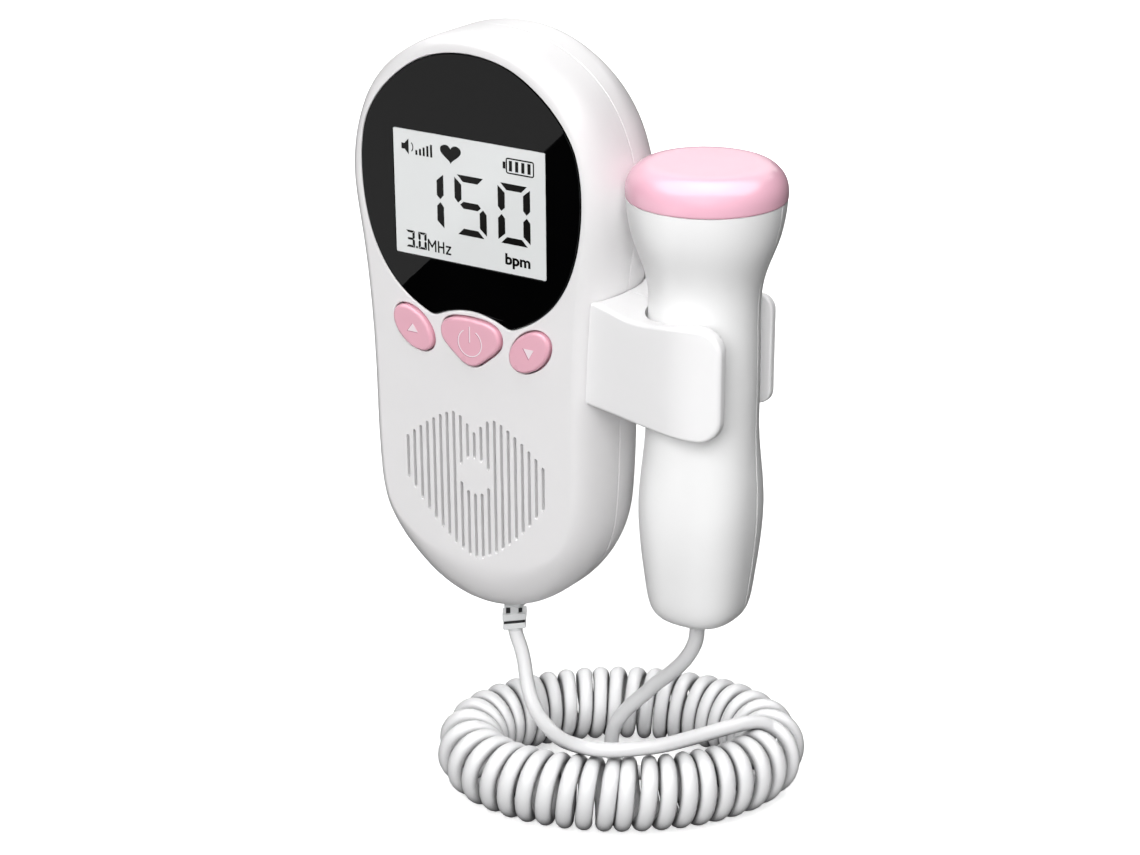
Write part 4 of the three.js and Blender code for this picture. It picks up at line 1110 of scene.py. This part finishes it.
def strokes(x, z, lines, w=0.38):
    """A letter drawn with straight strokes of one width; lines holds pairs of points."""
    part = Mesh()
    for (x0, z0), (x1, z1) in lines:
        l = math.hypot(x1 - x0, z1 - z0)
        ux, uz = (x1 - x0) / l, (z1 - z0) / l
        nx, nz = -uz * w / 2, ux * w / 2
        a, b = (x + x0 - ux * w * 0.4, z + z0 - uz * w * 0.4), (x + x1 + ux * w * 0.4, z + z1 + uz * w * 0.4)
        part.add(slab_on([(a[0] - nx, a[1] - nz), (b[0] - nx, b[1] - nz), (b[0] + nx, b[1] + nz), (a[0] + nx, a[1] + nz)]))
    return part


ink.add(strokes(-11.05, 17.42, [((0, 0), (0, 2.35)), ((1.9, 0), (1.9, 2.35)), ((0, 2.35), (0.95, 0.9)), ((0.95, 0.9), (1.9, 2.35))]))
ink.add(strokes(-8.35, 17.42, [((0, 0), (0, 2.35)), ((1.35, 0), (1.35, 2.35)), ((0, 1.2), (1.35, 1.2))]))
ink.add(strokes(-6.25, 17.42, [((0, 1.6), (1.1, 1.6)), ((1.1, 1.6), (0, 0)), ((0, 0), (1.1, 0))]))
ink.add(letters("bpm", 9.3, 17.0, 6.5, 3.3, 0.032))
make("display_marks", ink, M["ink"], "unit", sharp=30, weighted=False)

# dust cloth behind the grille slots
make("grille_cloth", loft([ranged(rounded_rect(-20.2, 20.2, -54.8, -18.0, 5.6), d) for d in (1.3, 1.55)]), M["cloth"], "unit")


# ------------------------------------------------------------------ keys
def key_mesh(inner, flange):
    rings = [(flange, 3.5), (flange, 2.8), (inner(0), 2.8), (inner(0), -0.3)]
    r = 0.75
    for k in range(1, 7):
        a = math.radians(15 * k)
        rings.append((inner(-r * (1 - math.cos(a))), -0.3 - (r - 0.02) * math.sin(a)))
    rings.append((inner(-1.4), -1.045))
    rings.append((inner(-2.4), -1.06))
    return loft([ranged(a, d) for a, d in rings])


make("key_up", key_mesh(lambda g: oval_loop(-1, g), oval_loop(-1, 0.9)), M["pink"], "up_key", ("up_button",))
make("key_down", key_mesh(lambda g: oval_loop(1, g), oval_loop(1, 0.9)), M["pink"], "down_key", ("down_button",))
make("key_power", key_mesh(power_loop, power_loop(0.9)), M["pink"], "power_key", ("power_button",))


def mark(loop, lift):
    loop = np.asarray(loop, float)
    return loft([ranged(loop, -1.0), ranged(loop, -1.06 - lift)])


def tri(a, b, c, g=0.0, dx=0.0, dz=0.0):
    p = np.array([a, b, c], float)
    mid = p.mean(0)
    return mid + (p - mid) * (1 + g) + np.array([dx, dz])


up_tri = ((-15.2, 0.05), (-16.65, -1.85), (-13.8, -1.85))
down_tri = ((14.45, -0.1), (17.1, -0.1), (15.8, -2.35))
make("key_up_mark", mark(tri(*up_tri), 0.04), M["print"], "up_key", sharp=30, weighted=False)
# painted shade: a larger darker copy of each triangle, shifted to the lower left, stands in for an engraved edge
make("key_up_mark_painted_shade", mark(tri(*up_tri, 0.1, -0.12, -0.1), 0.02), M["print_dark"], "up_key", sharp=30, weighted=False)
make("key_down_mark", mark(tri(*down_tri), 0.04), M["print"], "down_key", sharp=30, weighted=False)
make("key_down_mark_painted_shade", mark(tri(*down_tri, 0.1, -0.12, -0.1), 0.02), M["print_dark"], "down_key", sharp=30, weighted=False)


def power_mark(w, lift, dx=0.0, dz=0.0):
    m = mark(arc(0.26 + dx, -1.6 + dz, 3.1, 121, 419, w, 48), lift)
    m.add(mark([(0.22 + dx - w / 2, -1.5 + dz), (0.22 + dx + w / 2, -1.5 + dz), (0.22 + dx + w / 2, 2.2 + dz), (0.22 + dx - w / 2, 2.2 + dz)], lift))
    return m


# painted highlight: the pale line of the power sign stands in for the lit edge of a groove in the pink key; the darker
# copy shifted to the lower left is painted shade
make("key_power_painted_highlight", power_mark(0.26, 0.04), M["print"], "power_key", sharp=30, weighted=False)
make("key_power_mark_painted_shade", power_mark(0.3, 0.02, -0.1, -0.1), M["print_dark"], "power_key", sharp=30, weighted=False)


# ------------------------------------------------------------------ probe
PX, PY = 52.0, -14.6
PROBE = [
    (36.72, 16.85), (35.2, 16.82), (32.7, 16.45), (29, 15.72), (25, 14.25), (21, 12.75), (17, 11.95), (12, 11.85), (5, 12.0), (-2, 12.1), (-10, 12.05),
    (-18, 12.15), (-26, 12.65), (-34, 12.7), (-42, 12.1), (-48, 11.35), (-53, 10.7), (-56, 10.0), (-57.8, 8.8), (-58.6, 6.9), (-59.0, 4.2),
]


def probe_profile():
    p = catmull([(r, z) for z, r in PROBE], False, 24)
    p = resample(p, 150)
    k = np.arange(-9, 10)
    w = np.exp(-0.5 * (k / 2.6) ** 2)
    w /= w.sum()
    pad = np.vstack([2 * p[0] - p[9:0:-1], p, 2 * p[-1] - p[-2:-11:-1]])
    s = np.stack([np.convolve(pad[:, c], w, "valid") for c in range(2)], 1)
    s[0], s[-1] = p[0], p[-1]
    return s


PROFILE = probe_profile()


def squircle(z):
    return 2 + 0.5 * np.clip((-13 - z) / 18, 0, 1)


def probe_radius(z, r, t):
    e = squircle(z)
    c, s = np.cos(t), np.sin(t)
    return r / (np.abs(c) ** e + np.abs(s) ** e) ** (1 / e)


PART = 2.2  # the handle's parting plane lies behind its axis
FAN = np.concatenate([[0, 0.25, 0.5, 0.8, 1.1, 1.6], np.linspace(4, 176, 58), [178.4, 178.9, 179.2, 179.5, 179.75, 180]]) / 180


def half_ring(side, z, r):
    """One half of the handle's section, its two corners at the parting plane rounded."""
    e, y0 = min(0.25, r * 0.1), PART + side * 0.05
    t0 = math.asin(y0 / r)
    for _ in range(6):
        t0 = math.asin(y0 / float(probe_radius(z, r, t0)))
    t = t0 + side * FAN * (math.pi - side * 2 * t0)
    k = probe_radius(z, r, t)
    x, y = k * np.cos(t), k * np.sin(t)
    h = np.maximum(side * (y - y0), 0)
    pull = np.where(h < e, e - np.sqrt(np.clip(e ** 2 - (e - h) ** 2, 0, None)), 0.0)
    return np.stack([PX + x - np.sign(x) * pull, PY + y0 + side * h, np.full(len(x), z)], 1)


def probe_shell(side):
    body = loft([half_ring(side, z, r) for r, z in PROFILE])
    inner = []
    for r, z in PROFILE[::6]:
        if -56.5 < z < 35.5:
            t = np.linspace(0, 2 * math.pi, 48, endpoint=False)
            k = probe_radius(z, r - 1.8, t)
            inner.append(np.stack([PX + k * np.cos(t), PY + k * np.sin(t), np.full(48, z)], 1))
    top = inner[0].copy()
    top[:, 2] = 40
    inner = [top] + inner
    return cut(body, ("DIFFERENCE", loft(inner)), ("DIFFERENCE", lathe([(0, -64), (3.4, -64), (3.4, -50), (0, -50)], (PX - 0.3, PY, 0), "z", 40)))


make("probe_shell_front", probe_shell(-1), M["probe"], "probe", ("probe_front_shell",), sharp=40)
make("probe_shell_rear", probe_shell(1), M["probe"], "probe", ("probe_rear_shell",), sharp=40)

CAP_TOP, CAP_R = 44.2, 16.95
cap_outer = catmull([(9.0, CAP_TOP - 0.02), (12.0, CAP_TOP - 0.08), (13.3, CAP_TOP - 0.36), (14.45, 43.2), (15.4, 42.35), (16.15, 41.35), (16.63, 40.3), (16.88, 39.2), (CAP_R, 38.2), (CAP_R, 37.2)], False, 5)
cap_profile = [(0, CAP_TOP), (4, CAP_TOP), (7, CAP_TOP - 0.01)] + [tuple(q) for q in cap_outer] + [(16.9, 36.98), (16.78, 36.84), (16.5, 36.8), (14.15, 36.8), (14.15, 33.6), (13.1, 33.6), (13.1, 42.2), (12.4, 42.6), (0, 42.6)]
make("probe_cap_pink", lathe(cap_profile, (PX, PY, 0), "z", 128), M["cap"], "probe", ("probe_cap",))

relief = [(1.95, -60.6), (2.4, -60.62), (2.72, -60.4), (2.8, -60.0), (3.05, -59.3), (3.1, -58.9), (3.1, -55.6), (5.0, -55.6), (5.0, -54.6), (1.95, -54.6)]
make("cord_sleeve", lathe(relief, (PX - 0.3, PY, 0), "z", 56), M["relief"], "probe", ("probe_strain_relief",))


# ------------------------------------------------------------------ side clip
Z0 = -11.1
CUP_R = 12.55
FACE = np.array([(24.0, -22.9), (28.0, -24.0), (33.0, -25.35), (38.0, -26.8), (43.0, -28.3), (47.0, -29.45), (50.5, -30.4), (53.5, -31.1), (56.0, -31.35), (58.5, -31.25), (61.0, -30.75), (64.8, -29.6)])
FACE = resample(catmull(FACE, False, 20), 400)
EDGE = np.array([(24, 12.55), (29, 12.45), (32.3, 12.3), (34.6, 12.05), (37.4, 11.7), (40.4, 11.45), (43.5, 11.5), (46.8, 11.85), (50.8, 12.55), (54.9, 13.25), (57.3, 13.5), (60, 13.58), (64.8, 13.6)])


def face_y(x):
    return float(np.interp(x, FACE[:, 0], FACE[:, 1]))


def edge_z(x):
    return float(np.interp(x, EDGE[:, 0], EDGE[:, 1]))


def panel(outline, place, thick, r_front, r_back, grid, steps=4):
    """Bent plate: outline in (s, z), rounded rims, placed by place(s, z, depth)."""
    rings2, depth = [], []
    for k in range(steps + 1):
        a = math.radians(90 * k / steps)
        rings2.append(grow(outline, -r_front * (1 - math.sin(a))))
        depth.append(r_front * (1 - math.cos(a)))
    for k in range(steps, -1, -1):
        a = math.radians(90 * k / steps)
        rings2.append(grow(outline, -r_back * (1 - math.sin(a))))
        depth.append(thick - r_back * (1 - math.cos(a)))
    n = len(outline)
    verts, faces = [], []
    for l, d in zip(rings2, depth):
        verts += [place(s, z, d) for s, z in l]
    for k in range(len(rings2) - 1):
        for i in range(n):
            j = (i + 1) % n
            faces.append((k * n + i, k * n + j, (k + 1) * n + j, (k + 1) * n + i))
    for k, d, flip in ((0, depth[0], True), (len(rings2) - 1, depth[-1], False)):
        loop = rings2[k]
        lo, hi = loop.min(0), loop.max(0)
        inner = []
        for s in np.arange(lo[0] + grid, hi[0], grid):
            for z in np.arange(lo[1] + grid * 2, hi[1] - grid, grid * 2):
                if np.min(np.hypot(loop[:, 0] - s, loop[:, 1] - z)) > grid * 0.5:
                    inner.append((s, z))
        v2, f2 = fill([loop], inner)
        base = len(verts)
        verts += [place(s, z, d) for s, z in v2]
        faces += [tuple(base + i for i in (q[::-1] if flip else q)) for q in f2]
    m = Mesh(verts, faces)
    bm = bmesh.new()
    vs = [bm.verts.new(p) for p in m.v]
    for q in m.f:
        bm.faces.new([vs[i] for i in q])
    bmesh.ops.remove_doubles(bm, verts=bm.verts, dist=1e-4)
    bmesh.ops.recalc_face_normals(bm, faces=bm.faces)
    bm.verts.index_update()
    m = Mesh([tuple(p.co) for p in bm.verts], [tuple(v.index for v in q.verts) for q in bm.faces])
    bm.free()
    return m.outward()


R_RIM = 0.85


def place_front(x, z, d):
    """Outer face follows the plan curve; the inner face is straight beside the probe's way out."""
    y = face_y(x)
    t = max(2.3, -14.6 - CUP_R - y)
    k = d if d < R_RIM else R_RIM + (d - R_RIM) * (t - R_RIM) / (2.3 - R_RIM)
    return (x, y + k, z)


def plate_outline(x0, x1, z0, r, top, n=160, rl=2.0):
    """Rounded corners, small ones on the hidden left end, and the upper edge at top(x)."""
    def corner(cx, cz, q, a0):
        return [(cx + q * math.cos(math.radians(a0 + 7.5 * k)), cz + q * math.sin(math.radians(a0 + 7.5 * k))) for k in range(13)]

    pts = corner(x0 + rl, z0 + rl, rl, 180) + [(x, z0) for x in np.linspace(x0 + rl, x1 - r, 14)[1:-1]]
    pts += corner(x1 - r, z0 + r, r, 270) + corner(x1 - r, top(x1 - r) - r, r, 0)
    pts += [(x, top(x)) for x in np.linspace(x1 - r, x0 + rl, 30)[1:-1]] + corner(x0 + rl, top(x0 + rl) - rl, rl, 90)
    return resample(np.array(pts), n, True)


front_plate = panel(plate_outline(25.0, 64.8, Z0, 5.0, edge_z), place_front, 2.3, R_RIM, 0.45, 1.6)
back_plate = panel(plate_outline(26.0, 61.2, -11.4, 3.2, lambda x: 13.2), lambda s, z, d: (s, -d, z), 2.05, 0.6, 0.45, 3.0)


def seat_mesh():
    pts = [(49.5, -2.6), (48.5, -1.0), (36.0, -1.0), (27.0, -1.2), (27.0, -22.0)]
    pts += [(x, face_y(x) + 0.1) for x in np.linspace(27.5, 48.5, 24)] + [(49.5, face_y(48.5) + 1.6)]
    loop = soften(resample(np.array(pts), 220, True), 3.0)
    H = 24.0

    def place(x, y, d):
        hi, lo = edge_z(x) - 0.02, Z0 + 0.02
        if d < 2:
            return (x, y, hi - d)
        if d > H - 2:
            return (x, y, lo + H - d)
        return (x, y, hi - 2 + (lo + 4 - hi) * (d - 2) / (H - 4))

    return panel(loop, place, H, R_RIM, R_RIM, 1.3, 5)


def clear_rings():
    g = 0.3
    rings = []
    for q in Q_FRONT:
        f = front_ring(q)
        nx = np.stack([OUTN[:, 0] * math.cos(math.radians(q)), np.full(NOUT, -math.sin(math.radians(q))), OUTN[:, 1] * math.cos(math.radians(q))], 1)
        rings.append(f + nx * g)
    for q in Q_BACK[::-1]:
        f = back_ring(q)
        nx = np.stack([OUTN[:, 0] * math.cos(math.radians(q)), np.full(NOUT, math.sin(math.radians(q))), OUTN[:, 1] * math.cos(math.radians(q))], 1)
        rings.append(f + nx * g)
    return rings


cup = lathe([(0, -30), (CUP_R, -30), (CUP_R, 30), (0, 30)], (PX, PY, 0), "z", 120)
clip_mesh = cut(
    front_plate,
    ("UNION", seat_mesh()),
    ("UNION", back_plate),
    ("DIFFERENCE", cup),
    ("DIFFERENCE", loft(clear_rings())),
    # the parting line of the shells runs on across the seat
    ("DIFFERENCE", box_mesh(25, 62, SEAM_Y - 0.07, SEAM_Y + 0.07, 11.25, 20)),
    ("DIFFERENCE", box_mesh(25, 62, SEAM_Y - 0.07, SEAM_Y + 0.07, -20, Z0 + 0.25)),
)
make("side_clip", clip_mesh, M["clip"], "unit", ("probe_clip",), sharp=38)


# ------------------------------------------------------------------ cord plug
def plug_parts():
    white, dark = Mesh(), Mesh()
    cx, cy = 0.25, -11.0
    ca, sa = math.cos(math.radians(33.6)), math.sin(math.radians(33.6))

    def boot(u0, u1, w0, w1, z0, z1, bevel=0.0, tilt=0.0):
        """A block of the boot, which has swivelled in its socket and leans with the cord."""
        m = box_mesh(u0, u1, w0, w1, z0, z1, bevel)
        v = np.array(m.v)
        m.v = np.c_[cx + v[:, 0] * ca - v[:, 1] * sa, cy + v[:, 0] * sa + v[:, 1] * ca, v[:, 2] + tilt * v[:, 0]]
        return m

    # body in the socket, then the ribbed strain relief that shows below the unit
    white.add(box_mesh(-3.85, 3.85, -14.3, -7.7, -69.4, -57.5, 0.5))
    white.add(boot(-2.35, 2.1, -1.8, 1.8, -70.5, -69.0, 0.25))
    white.add(boot(-0.95, 0.95, -1.75, 1.75, -73.0, -70.2, 0.15))
    white.add(boot(-2.8, 2.8, -2.2, 2.2, -73.65, -71.95, 0.3, 0.1))
    white.add(boot(-2.65, 2.65, -2.2, 2.2, -75.85, -74.35, 0.4, 0.1))
    white.add(lathe([(0, -76.5), (1.7, -76.5), (1.95, -76.3), (2.0, -75.3), (0, -75.3)], (cx, cy, 0), "z", 32))
    dark.add(boot(-1.95, 1.8, -1.3, 1.3, -72.4, -70.3))
    dark.add(boot(-2.45, 2.45, -1.95, 1.95, -74.7, -73.3, 0.0, 0.1))
    return white, dark


plug_white, plug_dark = plug_parts()
plug = Mesh()
plug.add(plug_white, 0)
plug.add(plug_dark, 1)
plug_obj = make("plug_modular", plug, [M["plug"], M["plug_dark"]], "plug", ("cord_plug",))


# ------------------------------------------------------------------ cells
def cell_mesh(x, up):
    z0, L = -41.0, 49.0
    prof = [(0, 0), (5.6, 0), (5.9, 0.05), (6.4, 0.0), (6.9, 0.25), (7.1, 0.7), (7.1, L - 0.8), (6.95, L - 0.3), (6.5, L), (3.2, L), (3.1, L + 0.1), (2.7, L + 0.15), (2.7, L + 1.1), (2.5, L + 1.3), (0, L + 1.3)]
    if not up:
        prof = [(r, L + 1.3 - t) for r, t in prof]
    return lathe([(r, z0 + t) for r, t in prof], (x, -9.3, 0), "z", 56)


make("cell_1", cell_mesh(-7.6, True), M["cell"], "unit", ("battery_1",))
make("cell_2", cell_mesh(7.6, False), M["cell"], "unit", ("battery_2",))

# ------------------------------------------------------------------ CAD nodes that stay
STAY = {
    "lcd_backlight": "diffuser", "main_pcb": "board", "pcb_screw_1": "steel", "pcb_screw_2": "steel", "keypad_mat": "silicone",
    "speaker_frame": "speaker_metal", "speaker_cone": "paper", "speaker_magnet": "steel", "contact_bridge": "nickel",
    "contact_spring_1": "nickel", "contact_spring_2": "nickel", "contact_plate_1": "nickel", "contact_plate_2": "nickel",
    "cord_socket": "dark", "crystal_transmit": "ceramic", "crystal_receive": "ceramic", "crystal_backing": "backing",
    "probe_shield": "brass", "probe_pcb": "board",
}
for node, look in STAY.items():
    o = NODES[node]
    o.data.materials.clear()
    o.data.materials.append(M[look])

# ------------------------------------------------------------------ cord ends and lengths
wa, wc, wb = world(pa), world(pc), world(pb)
tuple(wa[0])
length_of(wa)
tuple(wc[0])
length_of(wc)
tuple(wb[0])
length_of(wb)
print("cord lengths", round(length_of(wa), 4), round(length_of(wc), 4), round(length_of(wb), 4), "turns", COIL_TURNS)

# ------------------------------------------------------------------ floor and light
FLOOR_Z = -0.1394


def floor_material(name, strength):
    m, nt, b = nodes_of(name)
    co = nt.nodes.new("ShaderNodeTexCoord").outputs["Object"]
    f = noise(nt, co, 3.0, 2.0)
    nt.links.new(ramp(nt, f, [(0.3, (0.9, 0.9, 0.905)), (0.7, (0.92, 0.92, 0.92))]), b.inputs["Base Color"])
    b.inputs["Roughness"].default_value = 0.9
    b.inputs["Specular IOR Level"].default_value = 0.1
    b.inputs["Emission Color"].default_value = (1.0, 1.0, 1.0, 1.0)
    b.inputs["Emission Strength"].default_value = strength
    return m


fm = bpy.data.meshes.new("floor")
fm.from_pydata([(-6, -6, FLOOR_Z), (6, -6, FLOOR_Z), (6, 6, FLOOR_Z), (-6, 6, FLOOR_Z)], [], [(0, 1, 2, 3)])
floor = bpy.data.objects.new("floor", fm)
fm.materials.append(floor_material("floor_pale", 0.55))
scene.collection.objects.link(floor)
floor.visible_diffuse = False
floor.visible_glossy = False
floor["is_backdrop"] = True

# the front left of the table top, the part that the glossy faces mirror
gm = bpy.data.meshes.new("table_glow")
gm.from_pydata([(-4, -4, FLOOR_Z + 0.0004), (-0.02, -4, FLOOR_Z + 0.0004), (-0.02, -0.08, FLOOR_Z + 0.0004), (-4, -0.08, FLOOR_Z + 0.0004)], [], [(0, 1, 2, 3)])
glow = bpy.data.objects.new("table_glow", gm)
gm.materials.append(floor_material("table_glow", 0.7))
scene.collection.objects.link(glow)
for ray in ("camera", "diffuse", "shadow", "transmission"):
    setattr(glow, "visible_" + ray, False)
glow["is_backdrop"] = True


def ray(px, py):
    """Direction through a point of the 1140 x 855 photograph."""
    right = Vector((math.cos(CAM_AZ), math.sin(CAM_AZ), 0))
    up = Vector((-math.sin(CAM_AZ) * math.sin(CAM_EL), math.cos(CAM_AZ) * math.sin(CAM_EL), math.cos(CAM_EL)))
    F = 1140 * 85.0 / 36.0
    return (-CAM_BACK + right * ((px - 570) / F) - up * ((py - 427.5) / F)).normalized()


def card():
    """Small black card that only mirror reflections see; it blacks out the lower right of the glossy window."""
    n = Vector((0, -1, -0.0139)).normalized()
    on = Vector((0, -0.0262 - 0.0139 * 0.030, 0.0))
    pts = []
    hub = None
    for px, py in ((600, 99), (600, 345), (375, 345), (370, 315.7)):
        d = ray(px, py)
        hit = cam.location + d * ((on - cam.location).dot(n) / d.dot(n))
        r = d - n * 2 * d.dot(n)
        if hub is None:
            hub, axis = hit + r * 0.2, r
        pts.append(hit + r * ((hub - hit).dot(axis) / r.dot(axis)))
    me = bpy.data.meshes.new("gloss_card")
    me.from_pydata([tuple(p) for p in pts], [], [(0, 1, 2, 3)])
    m, nt, b = nodes_of("card_black")
    b.inputs["Base Color"].default_value = (0, 0, 0, 1)
    b.inputs["Roughness"].default_value = 1.0
    b.inputs["Specular IOR Level"].default_value = 0.0
    me.materials.append(m)
    o = bpy.data.objects.new("gloss_card", me)
    scene.collection.objects.link(o)
    o.visible_camera = False
    o.visible_diffuse = False
    o.visible_shadow = False
    o.visible_transmission = False
    o.visible_volume_scatter = False
    o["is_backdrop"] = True


card()


def area(name, az, el, dist, size, watts, color=(1, 1, 1), size_y=None, aim=(0.015, -0.01, -0.05), glossy=True):
    d = bpy.data.lights.new(name, "AREA")
    d.energy = watts
    d.color = color
    d.shape = "RECTANGLE"
    d.size = size
    d.size_y = size_y or size
    o = bpy.data.objects.new(name, d)
    a, e = math.radians(az), math.radians(el)
    v = Vector((math.sin(a) * math.cos(e), -math.cos(a) * math.cos(e), math.sin(e)))
    o.location = Vector(aim) + v * dist
    o.rotation_euler = (-v).to_track_quat("-Z", "Y").to_euler()
    scene.collection.objects.link(o)
    o.visible_glossy = glossy
    return o


sun_data = bpy.data.lights.new("overhead", "SUN")
sun_data.energy = 1.0
sun_data.angle = math.radians(40)
sun = bpy.data.objects.new("overhead", sun_data)
sun.rotation_euler = Vector((-0.08, 0.05, -1.0)).to_track_quat("-Z", "Y").to_euler()
scene.collection.objects.link(sun)
area("key_softbox", 24, 29, 1.3, 0.9, 18.8, glossy=False)
area("back_fill", 216, 16, 1.3, 0.9, 12.5, glossy=False)
for light in (area("back_gloss", 213.6, 25, 1.3, 1.4, 3.2, size_y=0.5), area("top_gloss", 33.58, 80, 1.1, 2.6, 60.0, size_y=1.2), area("far_gloss", 213.6, 56, 1.1, 2.0, 11.0, size_y=0.9)):
    light.visible_diffuse = False

world_data = bpy.data.worlds.new("studio")
world_data.use_nodes = True
bg = world_data.node_tree.nodes["Background"]
bg.inputs[0].default_value = (1.0, 1.0, 1.0, 1.0)
bg.inputs[1].default_value = 0.12
scene.world = world_data

scene.view_settings.view_transform = "Standard"
scene.view_settings.look = "None"
scene.view_settings.exposure = 0.0
scene.view_settings.gamma = 1.0

now = [[float(c) for c in v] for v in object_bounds()]
